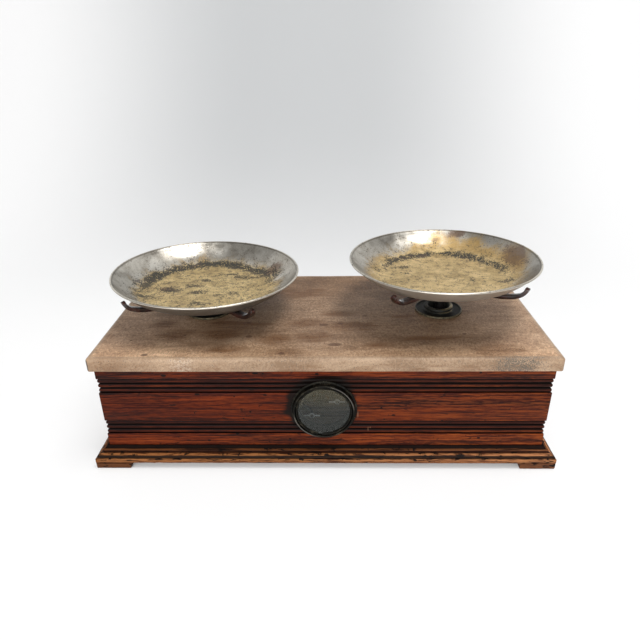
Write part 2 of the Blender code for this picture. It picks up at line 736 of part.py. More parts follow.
def build_links():
    for name, side in sides.items():
        link = pivot(f"{name}_link_pivot", rest_place(side, link_x))
        low, high = -line_spacing - link_end, link_end
        body = block((-link_half, -lane_link, low), (link_half, lane_link, high))
        bar_low, bar_high = [-depth for depth in link_bar]
        above = block((-2 * link_half, -lane_inner, bar_high), (2 * link_half, lane_inner, high + gap))
        below = block((-2 * link_half, -lane_inner, low - gap), (2 * link_half, lane_inner, bar_low))
        room = knife_depth + knife_room
        windows = []
        for z, up in ((0, 1), (-line_spacing, -1)):
            outline = [(0, z + up * gap), (link_window, z - up * seat_depth), (link_window, z - up * room),
                       (-link_window, z - up * room), (-link_window, z - up * seat_depth)]
            windows.append(prism(outline, -2 * lane_link, 2 * lane_link, "y"))
        piece(f"{name}_link", body, "black_iron", removed=[above, below] + windows, parent=link)


def carrier_outline(side, top):
    """One cheek of a carrier about the end knife's edge: a bracket with a notch over each of two knives."""
    inner = beam_arm - carrier_knife_x
    spread = seat_depth * math.tan(seat_angle)

    def notch(inward, height, room, direction):
        points = [(-spread, height - seat_depth), (0, height + room), (spread, height - seat_depth)]
        return [(inward + direction * offset, z) for offset, z in points]

    foot = -line_spacing - seat_depth
    points = [(-carrier_half, top), (inner + carrier_half, top), (inner + carrier_half, foot)]
    drift_room = gap / 2 + lever_drift / math.tan(seat_angle)
    points += notch(inner, -line_spacing, drift_room, -1)
    points += [(inner - carrier_half, foot), (carrier_half, -seat_depth)]
    points += notch(0, 0, gap, -1) + [(-carrier_half, -seat_depth)]
    return [(-side * inward, z) for inward, z in points]


def build_carriers():
    cheek_top = bridge_bottom + bridge_seat
    reach = lane_outer - cheek_inset
    for name, side in sides.items():
        place = rest_place(side, beam_arm)
        carrier = pivot(f"{name}_carrier_pivot", place)
        boss_x = -side * (beam_arm - pan_x)
        cheeks = [prism(carrier_outline(side, cheek_top), low, low + lane_outer - lane_carrier, "y")
                  for low in (-lane_outer, lane_carrier)]
        bridge = block((boss_x - boss_radius, -reach, bridge_bottom),
                       (boss_x + boss_radius, reach, bridge_bottom + boss_bridge))
        tie_low, tie_high = sorted((side * carrier_half * 0.9, -side * carrier_half * 0.1))
        tie_bottom, tie_top = [cheek_top - depth for depth in tie_band]
        tie = block((tie_low, -reach, tie_bottom), (tie_high, reach, tie_top))
        boss = rod(boss_radius, bridge_bottom, boss_top, "z", (boss_x, 0), 32)
        bore = rod(spigot_radius + gap, bridge_bottom - gap, boss_top + gap, "z", (boss_x, 0), 24)
        pin_z = boss_top - stem_pin_radius * 2
        pin_hole = rod(stem_pin_radius + gap, -lane_outer * 2, lane_outer * 2, "y", (boss_x, pin_z), 12)
        piece(f"{name}_carrier", bridge, "black_iron", joined=cheeks + [boss, tie], removed=[bore, pin_hole],
              parent=carrier)
        pin = rod(stem_pin_radius, -boss_radius - stem_pin_end, boss_radius + stem_pin_end, "y", (0, 0), 12)
        piece(f"{name}_stem_pin", pin, "pale_steel", parent=carrier, location=(boss_x, 0, pin_z))
        pan_foot = pan_rim_height - pan_depth - (beam_height + boss_top)
        support = build_support(name, side, carrier, (boss_x, 0, boss_top), pan_foot)
        build_pan(name, side, support, pan_foot)


def pan_wall(steps):
    """Outer points of the pan from the edge of its floor to its lip, as (radius, height above its foot)."""
    start = Vector((pan_floor, 0, 0))
    stop = Vector((pan_radius - pan_lip, pan_depth - pan_lip * 0.9, 0))
    width, height = stop.x - start.x, stop.y
    first = start + Vector((width * 0.45, height * 0.04, 0))
    second = stop - Vector((width * 0.22, height * 0.5, 0))
    return [(point.x, point.y) for point in interpolate_bezier(start, first, second, stop, steps)]


def offset_points(points, distance):
    """Points moved to the left of the way they run, each by its own distance or all by one."""
    moved = []
    for count, (x, y) in enumerate(points):
        before = points[max(count - 1, 0)]
        after = points[min(count + 1, len(points) - 1)]
        run = Vector((after[0] - before[0], after[1] - before[1])).normalized()
        step = distance[count] if isinstance(distance, list) else distance
        moved.append((x - run.y * step, y + run.x * step))
    return moved


def support_arm(azimuth, foot_height_above):
    """One flat arm, which follows the pan's wall below it and flares out at its tip."""
    wall = pan_wall(pan_wall_steps)[:-3]
    last = len(wall) - 1
    stand_off = [
        -(arm_clearance + arm_thickness / 2 + arm_drop * (1 - count / last)) for count in range(last + 1)
    ]
    middle = offset_points(wall, stand_off)
    end = Vector(middle[-1])
    run = (end - Vector(middle[-2])).normalized()
    flare = Vector((run.x * 0.8 + 0.6 * run.y, run.y * 0.8 - 0.6 * run.x)) * arm_flare
    middle.append((end.x + flare.x, end.y + flare.y))
    middle = [(hub_radius * 0.5, middle[0][1])] + middle
    upper = offset_points(middle, arm_thickness / 2)
    lower = offset_points(middle, -arm_thickness / 2)
    outline = [(r, z + foot_height_above) for r, z in upper + lower[::-1]]
    return turn_shape(prism(outline, -arm_width / 2, arm_width / 2, "y"), azimuth)


def build_support(name, side, carrier, place, pan_foot):
    """Spigot, stem and hub turned in one piece with four arms, standing on the carrier's boss."""
    hub_top = pan_foot - gap
    hub_low = hub_top - hub_height
    shoulder = stem_radius + stem_shoulder
    profile = [(0, -boss_height), (spigot_radius, -boss_height), (spigot_radius, gap), (shoulder, gap)]
    profile += [(shoulder, stem_shoulder_heights[0]), (stem_radius, stem_shoulder_heights[1])]
    profile += [(stem_radius, hub_low - stem_flare_depths[0])]
    profile += [(stem_radius + stem_flare, hub_low - stem_flare_depths[1]), (hub_radius - hub_edge, hub_low)]
    profile += [(hub_radius, hub_low + hub_edge), (hub_radius, hub_top), (0, hub_top)]
    arms = [support_arm(math.radians(45 + 90 * quarter), pan_foot) for quarter in range(4)]
    hole = rod(stem_pin_radius + gap, -2 * stem_radius, 2 * stem_radius, "y", (0, -2 * stem_pin_radius), 12)
    turn_shape(hole, -support_turn[side])
    support = turned(profile, round_segments)
    return piece(f"{name}_pan_support", support, "oxblood_paint", joined=arms, removed=[hole], parent=carrier,
                 location=place, turn=support_turn[side], lean=-side * pan_lean)


def build_pan(name, side, support, height):
    """A dish of thin sheet with a rolled lip, loose on its support."""
    outer = [(0, 0)] + pan_wall(pan_wall_steps)
    sheet = pan_sheet[side]
    inner = offset_points(pan_wall(pan_wall_steps), sheet)
    lip_reach = pan_lip * 0.58
    lip = arc((pan_radius - lip_reach, pan_depth - pan_lip / 2), (lip_reach, pan_lip / 2), -60, 150, 4)
    profile = outer + lip + inner[::-1] + [(0, sheet)]
    pan = turned(profile, pan_segments)
    piece(f"{name}_pan", pan, "nickelled_brass", parent=support, location=(0, 0, height))


def main():
    clear_scene()
    build_boards()
    build_mouldings()
    build_bottom()
    build_feet()
    build_marble_top()
    build_collars()
    build_window()
    build_bed()
    build_centre_stand()
    build_fulcrum_stands()
    build_main_beam()
    build_levers()
    build_links()
    build_carriers()


main()
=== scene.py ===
# Looks of the counter balance: a marble top on a reeded case, two plated pans on painted supports, and a
# round window with two pointers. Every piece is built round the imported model, in metres.
import math

import bmesh
import bpy
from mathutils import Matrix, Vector
from mathutils.geometry import interpolate_bezier


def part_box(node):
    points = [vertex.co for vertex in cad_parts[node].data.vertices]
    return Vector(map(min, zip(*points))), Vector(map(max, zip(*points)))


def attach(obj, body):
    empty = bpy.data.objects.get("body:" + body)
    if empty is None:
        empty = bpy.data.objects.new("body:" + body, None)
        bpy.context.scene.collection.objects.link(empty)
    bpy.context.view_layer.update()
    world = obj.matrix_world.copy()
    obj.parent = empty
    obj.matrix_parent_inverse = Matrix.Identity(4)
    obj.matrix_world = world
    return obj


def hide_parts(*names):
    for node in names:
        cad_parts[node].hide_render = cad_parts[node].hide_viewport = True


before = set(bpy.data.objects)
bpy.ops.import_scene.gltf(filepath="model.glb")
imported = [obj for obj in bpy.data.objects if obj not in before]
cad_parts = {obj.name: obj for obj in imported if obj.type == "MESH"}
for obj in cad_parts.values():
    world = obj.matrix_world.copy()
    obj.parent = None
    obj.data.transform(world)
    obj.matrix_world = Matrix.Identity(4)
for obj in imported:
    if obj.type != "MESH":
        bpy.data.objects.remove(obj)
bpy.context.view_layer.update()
mm = 0.001
tiny = 0.01 * mm  # what counts as the same place when edges are picked
weld = 0.002 * mm
sides = {"left": -1, "right": 1}
print("frame loaded,", len(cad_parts), "pieces")


# shader maths
class Wire:
    # an output of a node; sums and products on it add Math nodes to the same finish
    def __init__(self, finish, socket):
        self.finish = finish
        self.socket = socket

    def __add__(self, other):
        return self.finish.maths("ADD", self, other)

    def __radd__(self, other):
        return self.finish.maths("ADD", other, self)

    def __sub__(self, other):
        return self.finish.maths("SUBTRACT", self, other)

    def __rsub__(self, other):
        return self.finish.maths("SUBTRACT", other, self)

    def __mul__(self, other):
        return self.finish.maths("MULTIPLY", self, other)

    def __rmul__(self, other):
        return self.finish.maths("MULTIPLY", other, self)

    def __truediv__(self, other):
        return self.finish.maths("DIVIDE", self, other)

    def __abs__(self):
        return self.finish.maths("ABSOLUTE", self)


class Finish:
    # a material with one Principled shader; fixed values go on the shader's own sockets
    def __init__(self, name, **fixed):
        self.material = bpy.data.materials.new(name)
        self.material.use_nodes = True
        self.tree = self.material.node_tree
        self.shader = self.tree.nodes["Principled BSDF"]
        for socket, value in fixed.items():
            self.feed(socket.replace("_", " "), value)

    def plug(self, socket, value):
        if isinstance(value, Wire):
            self.tree.links.new(value.socket, socket)
        elif socket.type == "RGBA" and not isinstance(value, float):
            socket.default_value = (*value[:3], 1.0)
        else:
            socket.default_value = value

    def feed(self, socket, value):
        self.plug(self.shader.inputs[socket], value)

    def node(self, kind, settings=None, sockets=None, out=0):
        made = self.tree.nodes.new("ShaderNode" + kind)
        for key, value in (settings or {}).items():
            if key == "stops":
                self.setStops(made.color_ramp, value)
            else:
                setattr(made, key, value)
        for key, value in (sockets or {}).items():
            self.plug(made.inputs[key], value)
        return Wire(self, made.outputs[out])

    def setStops(self, ramp, stops):
        while len(ramp.elements) < len(stops):
            ramp.elements.new(1.0)
        for element, (position, colour) in zip(ramp.elements, stops):
            element.position = position
            element.color = (*colour, 1.0)

    def maths(self, operation, *values, clamp=False):
        return self.node("Math", {"operation": operation, "use_clamp": clamp}, dict(enumerate(values)))

    def limit(self, value):
        return self.maths("ADD", value, 0.0, clamp=True)

    def spot(self, centre=(0, 0, 0), turn=(0, 0, 0), size=(1, 1, 1)):
        # object coordinates about a centre, turned, and measured in the given sizes
        place = self.node("TexCoord", out="Object")
        sockets = {"Vector": place, "Location": centre, "Rotation": turn, "Scale": size}
        return self.node("Mapping", {"vector_type": "TEXTURE"}, sockets)

    def noise(self, size, detail=3.0, roughness=0.5, distortion=0.0, shift=(0, 0, 0), turn=0.0):
        # clouds as long, wide and high as the given millimetres
        place = self.spot(shift, (0, 0, turn), [part * mm for part in size])
        sockets = {"Vector": place, "Scale": 1.0, "Detail": detail, "Roughness": roughness,
                   "Distortion": distortion}
        return self.node("TexNoise", {}, sockets, "Fac")

    def cells(self, size):
        # distance to the middle of the nearest cell
        place = self.spot(size=[part * mm for part in size])
        return self.node("TexVoronoi", {}, {"Vector": place, "Scale": 1.0}, "Distance")

    def split(self, place):
        made = self.node("SeparateXYZ", {}, {"Vector": place})
        outputs = made.socket.node.outputs
        return [Wire(self, outputs[axis]) for axis in range(3)]

    def rise(self, value, low, high):
        # 0 below low, 1 above high, smooth between
        sockets = {"Value": value, "From Min": low, "From Max": high}
        return self.node("MapRange", {"interpolation_type": "SMOOTHSTEP"}, sockets)

    def fall(self, value, low, high):
        return 1.0 - self.rise(value, low, high)

    def near(self, centre, reach, turn=0.0):
        # 1 round a centre, fading to 0 at its reach along each axis
        away = self.spot(centre, (0, 0, turn), reach)
        return self.fall(self.node("VectorMath", {"operation": "LENGTH"}, {0: away}, "Value"), 0.25, 1.0)

    def highest(self, values):
        top = values[0]
        for value in values[1:]:
            top = self.maths("MAXIMUM", top, value)
        return top

    def ramp(self, value, stops):
        return self.node("ValToRGB", {"stops": stops}, {"Fac": value}, "Color")

    def mix(self, factor, first, second, blend="MIX"):
        settings = {"data_type": "RGBA", "blend_type": blend}
        return self.node("Mix", settings, {0: factor, 6: first, 7: second}, 2)

    def tint(self, colour, by, share=1.0):
        return self.mix(share, colour, by, "MULTIPLY")

    def distance(self, across, along):
        return self.maths("SQRT", across * across + along * along)

    def own(self):
        # the piece's own place: across, along and up
        return self.split(self.node("TexCoord", out="Object"))

    def paint(self, colour, roughness, relief, metallic=None):
        self.feed("Base Color", colour)
        self.feed("Roughness", roughness)
        self.feed("Normal", relief)
        if metallic is not None:
            self.feed("Metallic", metallic)
        return self

    def bump(self, height, distance, strength=1.0, under=None):
        sockets = {"Height": height, "Distance": distance, "Strength": strength}
        if under:
            sockets["Normal"] = under
        return self.node("Bump", {}, sockets)


def middleOf(node):
    low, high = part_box(node)
    return (low + high) / 2


windowCentre = middleOf("window_bezel")


# modelling by hand
def startAfresh():
    if bpy.context.mode != "OBJECT":
        bpy.ops.object.mode_set(mode="OBJECT")
    bpy.ops.object.select_all(action="DESELECT")


def takeUp(item):
    startAfresh()
    item.select_set(True)
    bpy.context.view_layer.objects.active = item


def turnOutwards():
    bpy.ops.mesh.select_all(action="SELECT")
    bpy.ops.mesh.normals_make_consistent(inside=False)


def editMode():
    bpy.ops.object.mode_set(mode="EDIT")
    bpy.ops.mesh.select_all(action="SELECT")


def objectMode():
    bpy.ops.object.mode_set(mode="OBJECT")


def pick(kind, test):
    # selects what passes a test of a face's middle and normal, an edge's two ends or a vertex's place
    bpy.ops.mesh.select_mode(type=kind)
    bpy.ops.mesh.select_all(action="DESELECT")
    shape = bmesh.from_edit_mesh(bpy.context.object.data)
    if kind == "FACE":
        chosen = [face for face in shape.faces if test(face.calc_center_median(), face.normal)]
    elif kind == "EDGE":
        chosen = [edge for edge in shape.edges if test(edge.verts[0].co, edge.verts[1].co)]
    else:
        chosen = [vert for vert in shape.verts if test(vert.co)]
    for part in chosen:
        part.select_set(True)
    shape.select_flush_mode()
    bmesh.update_edit_mesh(bpy.context.object.data)


def addBlock(low, high):
    startAfresh()
    low, high = Vector(low), Vector(high)
    bpy.ops.mesh.primitive_cube_add(size=1, location=(low + high) / 2, scale=high - low)
    bpy.ops.object.transform_apply()
    return bpy.context.object


def addRod(radius, low, high, steps=32):
    # a plain cylinder between two points
    startAfresh()
    low, high = Vector(low), Vector(high)
    run = high - low
    turn = run.to_track_quat("Z", "Y").to_euler()
    bpy.ops.mesh.primitive_cylinder_add(vertices=steps, radius=radius, depth=run.length,
                                        location=(low + high) / 2, rotation=turn)
    bpy.ops.object.transform_apply()
    return bpy.context.object


def drawLine(points, close=False):
    # a row of points, drawn from one vertex by extruding it on
    startAfresh()
    bpy.ops.mesh.primitive_plane_add(size=mm, location=points[0])
    bpy.ops.object.transform_apply()
    editMode()
    bpy.ops.mesh.select_mode(type="VERT")
    bpy.ops.mesh.merge(type="CENTER")
    if close:
        points = [*points, points[0]]
    for here, there in zip(points, points[1:]):
        step = Vector(there) - Vector(here)
        bpy.ops.mesh.extrude_vertices_move(TRANSFORM_OT_translate={"value": step})
    bpy.ops.mesh.select_all(action="SELECT")
    if close:
        bpy.ops.mesh.remove_doubles(threshold=weld)
        bpy.ops.mesh.edge_face_add()


def turnProfile(profile, centre, axis, steps, close=False, angle=math.tau):
    # a line of points spun into a piece; a closed line spun all the way round keeps no face inside
    drawLine(profile, close)
    if close and angle == math.tau:
        bpy.ops.mesh.delete(type="ONLY_FACE")
        bpy.ops.mesh.select_all(action="SELECT")
    bpy.ops.mesh.spin(steps=steps, angle=angle, center=centre, axis=axis)
    bpy.ops.mesh.select_all(action="SELECT")
    bpy.ops.mesh.remove_doubles(threshold=weld)
    turnOutwards()
    objectMode()
    return bpy.context.object


def turnUpright(profile, steps):
    # (radius, height) points spun round the upright axis
    return turnProfile([(radius, 0, height) for radius, height in profile], (0, 0, 0), (0, 0, 1), steps)


def arcPoints(centre, radii, start, stop, steps):
    # points on an ellipse's arc, its angles in degrees
    turns = [math.radians(start + (stop - start) * step / steps) for step in range(steps + 1)]
    return [(centre[0] + radii[0] * math.cos(turn), centre[1] + radii[1] * math.sin(turn)) for turn in turns]


def shiftLine(points, distance):
    # a line moved to the left of its run
    moved = []
    for count, (across, up) in enumerate(points):
        before = points[max(count - 1, 0)]
        after = points[min(count + 1, len(points) - 1)]
        run = Vector((after[0] - before[0], after[1] - before[1])).normalized()
        moved.append((across - run.y * distance, up + run.x * distance))
    return moved


def applyModifier(item, kind, **settings):
    takeUp(item)
    modifier = item.modifiers.new(kind.title(), kind)
    for key, value in settings.items():
        setattr(modifier, key, value)
    bpy.ops.object.modifier_apply(modifier=modifier.name)


def combine(item, others, operation):
    for other in others:
        applyModifier(item, "BOOLEAN", object=other, operation=operation)
        bpy.data.objects.remove(other, do_unlink=True)


def drill(item, radius, at, low, high, axis, steps):
    # a hole along one axis, right through from one face to the other
    way = "xyz".index(axis)
    start, stop = at.copy(), at.copy()
    start[way], stop[way] = low[way] - mm, high[way] + mm
    combine(item, [addRod(radius, start, stop, steps)], "DIFFERENCE")


def bevelEdges(item, width, steps, angle=40):
    applyModifier(item, "BEVEL", width=width, segments=steps, limit_method="ANGLE",
                  angle_limit=math.radians(angle))


def wearDown(item, look, share=1.0):
    # uneven wear, only ever inwards
    clouds = bpy.data.textures.new("wear", "CLOUDS")
    clouds.noise_scale = look["wearSize"]
    clouds.noise_depth = 2
    applyModifier(item, "DISPLACE", texture=clouds, strength=share * look["wearDepth"], mid_level=1.0)


def copyPiece(item):
    takeUp(item)
    bpy.ops.object.duplicate(linked=False)
    return bpy.context.object


def place(item, move=(0, 0, 0), turn=(0, 0, 0)):
    # turned about the origin, moved, and both applied
    takeUp(item)
    item.rotation_euler = turn
    item.location = move
    bpy.ops.object.transform_apply()


def finishPiece(item, name, finish, body, slot, *replaced, smooth=35):
    place(item)
    bpy.ops.object.shade_smooth_by_angle(angle=math.radians(smooth))
    item.name = name
    item.data.name = name
    item.data.materials.clear()
    item.data.materials.append(finish.material)
    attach(item, body)
    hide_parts(*replaced)
    return item


# marble top
marble = {
    "topArris": 4.2 * mm, "underArris": 0.8 * mm, "cell": 5 * mm,
    "wearDepth": 0.5 * mm, "wearSize": 22 * mm, "hole": 14.8 * mm,
    "pale": (0.40, 0.268, 0.168), "middle": (0.252, 0.156, 0.092), "deep": (0.138, 0.077, 0.041),
    "edgePale": (0.44, 0.310, 0.203), "edgeDeep": (0.26, 0.167, 0.101),
    "stainAndShadow": (0.15, 0.065, 0.022), "rust": (0.07, 0.026, 0.012), "grey": (0.085, 0.082, 0.072),
    "cleanSheen": (0.72, 0.62, 0.52), "chipped": (0.03, 0.024, 0.018),
    # where the brown soaked in, some of them painted shadows under the pans, and single spots: x, y, half
    # length, half width
    "clouds": [(-118, -107, 38, 14), (-58, -81, 36, 18), (-23, -38, 42, 18), (-31, 61, 66, 26),
               (-42, -113, 34, 11), (69, -97, 30, 12), (35, -48, 60, 26), (21, -9, 36, 14),
               (124, -80, 66, 12), (206, -109, 48, 18), (105, -17, 26, 14), (-10, -75, 44, 24),
               (122, 57, 54, 22), (-128, -66, 46, 26), (-120, -40, 60, 30), (-186, -70, 36, 22),
               (-205, -40, 26, 20)],
    "spots": [(-208, -120, 7, 5), (-92, -75, 7, 6), (-97, -37, 5, 4), (-49, -117, 7, 5), (13, -96, 15, 7),
              (0, -43, 11, 6), (21, -39, 7, 5), (173, -69, 5, 3), (-172, -71, 3, 3), (-134, -70, 3, 2.5),
              (-235, -84, 3, 2.5), (54, -17, 6, 4), (-82, -131, 3, 3)],
    "mould": (222, -131, 44, 12), "chip": (-274, -131, 4, 6), "polishedSheen": (-163, -129, 20, 5),
    "grimed": (-252, -131, 34, 12),
    # paler towards both ends and along the front, browner at the back: painted light and shade on the top
    "palerFrom": 25 * mm, "endBand": (110 * mm, 215 * mm), "endPaintedLight": (1.62, 1.64, 1.70),
    "frontBand": (-126 * mm, -84 * mm), "frontPaintedLight": (1.42, 1.42, 1.38),
    "backBand": (0.0, 100 * mm), "backPaintedShade": (0.84, 0.78, 0.71), "edgeBand": (3.6 * mm, 8 * mm),
}


def marbleFinish():
    look = marble
    low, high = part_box("marble_top")
    middle = (low + high) / 2
    finish = Finish("agedMarble", Specular_IOR_Level=0.3)
    across, along, up = finish.own()
    clouds = finish.noise((70, 45, 45), 4.0, 0.55, 0.4)
    drift = finish.noise((46, 8, 20), 4.0, 0.62, 0.8)
    grain = finish.noise((2.8, 4.6, 2.8), 4.0, 0.74)
    grit = finish.noise((1.4, 1.9, 1.2), 2.0, 0.6, shift=(0.2, 0.5, 0))
    tone = 0.34 * clouds + 0.16 * drift + 0.50 * grain
    colour = finish.ramp(tone, [(0.40, look["deep"]), (0.5, look["middle"]), (0.60, look["pale"])])

    def column(x, y, long, wide, depth=40):
        return finish.near((x * mm, y * mm, middle.z), (long * mm, wide * mm, depth * mm), 0.05)

    # painted light towards both ends and along the front, painted shade towards the back
    ends = finish.rise(abs(across - look["palerFrom"]) + 60 * mm * (clouds - 0.5), *look["endBand"])
    colour = finish.tint(colour, look["endPaintedLight"], 0.85 * ends)
    colour = finish.tint(colour, look["frontPaintedLight"], finish.fall(along, *look["frontBand"]))
    colour = finish.tint(colour, look["backPaintedShade"], finish.rise(along, *look["backBand"]))

    # brown stains that follow the bedding and painted shadows under the pans, then single spots and rusty
    # specks
    soakedAndShadowed = finish.highest([column(*cloud) for cloud in look["clouds"]])
    bedding = finish.noise((60, 11, 30), 5.0, 0.64, 1.2, shift=(0.3, 0.1, 0), turn=0.08)
    stains = finish.rise(0.5 * bedding + 0.2 * clouds + 0.3 * grain + 0.10 * soakedAndShadowed, 0.54, 0.64)
    colour = finish.mix(0.55 * stains + 0.30 * soakedAndShadowed, colour, look["stainAndShadow"])
    spots = finish.highest([column(*spot) for spot in look["spots"]])
    spots = finish.rise(spots + 0.9 * (grain - 0.5), 0.35, 0.75)
    colour = finish.mix(0.7 * spots, colour, look["rust"])
    specks = finish.rise(grit + 0.08 * soakedAndShadowed + 0.12 * (clouds - 0.5), 0.635, 0.70)
    colour = finish.mix(0.75 * specks, colour, look["rust"])
    cracks = finish.fall(abs(bedding - 0.52), 0.0, 0.006) * finish.rise(clouds, 0.5, 0.58)
    colour = finish.mix(0.6 * cracks, colour, look["rust"])

    # the edge all round is paler: partly cleaner stone, partly painted light on its faces and rounded arris
    edge = finish.fall(-low.y - abs(along), *look["edgeBand"])
    end = finish.fall(high.x - abs(across), *look["edgeBand"])
    rim = finish.highest([edge, end])
    edgeTone = 0.45 * clouds + 0.2 * drift + 0.35 * grain
    paler = finish.ramp(edgeTone, [(0.42, look["edgeDeep"]), (0.56, look["edgePale"])])
    dull = finish.rise(drift, 0.46, 0.60) * finish.fall(up, high.z - 10 * mm, high.z - 5 * mm)
    dull = finish.highest([0.5 * dull, 0.8 * column(*look["grimed"], 16) * finish.rise(grain, 0.4, 0.6)])
    paler = finish.mix(dull, paler, look["stainAndShadow"])
    # a paler polished patch: cleaner stone with a painted sheen
    polishedSheen = column(*look["polishedSheen"], 30)
    paler = finish.mix(0.3 * polishedSheen * finish.rise(grain, 0.42, 0.56), paler, look["cleanSheen"])
    colour = finish.mix(0.9 * rim, colour, finish.mix(0.5 * specks, paler, look["rust"]))

    # grey mould and a chipped, dark corner
    spores = finish.noise((1.3, 1.0, 1.0), 2.0, 0.6, shift=(0.4, 0.2, 0.3))
    mould = 0.62 * column(*look["mould"]) + 3.6 * (spores - 0.5) + 1.6 * (grain - 0.5)
    colour = finish.mix(0.85 * finish.rise(mould, 0.32, 0.80), colour, look["grey"])
    chip = finish.rise(column(*look["chip"], 20) + 1.2 * (grain - 0.5), 0.5, 0.7)
    colour = finish.mix(0.85 * chip, colour, look["chipped"])
    broad = finish.bump(drift, 0.6 * mm, 0.25)
    relief = finish.bump(0.7 * grain + 0.3 * grit - 0.4 * specks, 0.3 * mm, 0.45, broad)
    return finish.paint(colour, finish.limit(0.36 + 0.3 * grain - 0.10 * rim), relief)


def buildMarble():
    look = marble
    low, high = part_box("marble_top")
    startAfresh()
    length, depth, height = high - low
    columns, rows = round(length / look["cell"]), round(depth / look["cell"])
    bpy.ops.mesh.primitive_grid_add(x_subdivisions=columns, y_subdivisions=rows, size=1,
                                    location=(0, 0, low.z))
    slab = bpy.context.object
    slab.scale = (length, depth, 1)
    bpy.ops.object.transform_apply()
    editMode()
    bpy.ops.mesh.extrude_region_move(TRANSFORM_OT_translate={"value": (0, 0, height)})
    turnOutwards()
    half = (high - low) / 2
    middle = (high + low) / 2

    def onRim(a, b, level):
        flat = abs(a.z - level) < tiny and abs(b.z - level) < tiny
        point = (a + b) / 2 - middle
        return flat and (abs(point.x) > half.x - tiny or abs(point.y) > half.y - tiny)

    def onCorner(a, b):
        return abs(a.z - b.z) > mm and abs(abs(a.x) - half.x) < mm and abs(abs(a.y) - half.y) < mm

    def onBow(a, b):
        # the rounded corners' own edges, on the outline but on neither straight side
        inner = half - Vector((look["topArris"], look["topArris"], 0))
        return all(abs(co.x) > inner.x - tiny and abs(co.y) > inner.y - tiny for co in (a, b))

    pick("EDGE", lambda a, b: onCorner(a, b) or onRim(a, b, high.z))
    bpy.ops.mesh.bevel(offset=look["topArris"], segments=6)
    pick("EDGE", lambda a, b: onRim(a, b, low.z) or (max(a.z, b.z) < low.z + tiny and onBow(a, b)))
    bpy.ops.mesh.bevel(offset=look["underArris"], segments=2)
    objectMode()
    wearDown(slab, look)
    for name in sides:
        drill(slab, look["hole"], middleOf(name + "_collar"), low, high, "z", 64)
    finishPiece(slab, "marbleSlab", marbleFinish(), "case", "marble", "marble_top")
    print("marble top built")


# wood
def lineMoulding(finish, look, colour, up, streaks):
    # a dark line along the quirk, a thin painted highlight along the bead, and a darker lower edge
    height, half = look["quirkLine"]
    line = finish.fall(abs(up + 0.8 * mm * (streaks - 0.5) - height), 0.6 * half, half)
    colour = finish.mix(0.95 * line, colour, look["dirtAndShade"])
    # the bead's crest: a painted highlight, broken by the grain
    height, half = look["beadHighlight"]
    line = finish.fall(abs(up - height), 0.4 * half, half) * finish.rise(streaks, 0.42, 0.55)
    colour = finish.mix(0.55 * line, colour, look["wornAndHighlit"])
    return finish.mix(0.82 * finish.fall(up, *look["lowEdge"]), colour, look["middle"])


def markFront(finish, look, marks, colour, front, wander, fine):
    # stained and darkened with a painted shadow round the window, and scratched; the nicks are handed back
    # beside the colour
    def onFront(x, height, long, high, deep=9):
        return finish.near((x * mm, front, height * mm), (long * mm, deep * mm, high * mm))

    # the dark ring round the window is a stain with a painted shadow, reaching furthest to the upper left
    x, above, wide = marks["ringStainAndShadow"]
    stainAndShadow = onFront(x, windowCentre.z / mm + above, wide, wide, 20)
    ragged = 0.7 * (wander - 0.5) * finish.rise(stainAndShadow, 0.0, 0.12)
    colour = finish.mix(0.95 * finish.rise(stainAndShadow + ragged, 0.12, 0.34), colour, look["dirtAndShade"])
    scratches = finish.highest([onFront(*scratch) for scratch in marks["scratches"]])
    colour = finish.mix(0.6 * scratches, colour, marks["pale"])
    nicks = finish.highest([onFront(*nick) for nick in marks["nicks"]])
    return colour, finish.rise(nicks + 1.2 * (fine - 0.5), 0.25, 0.55)


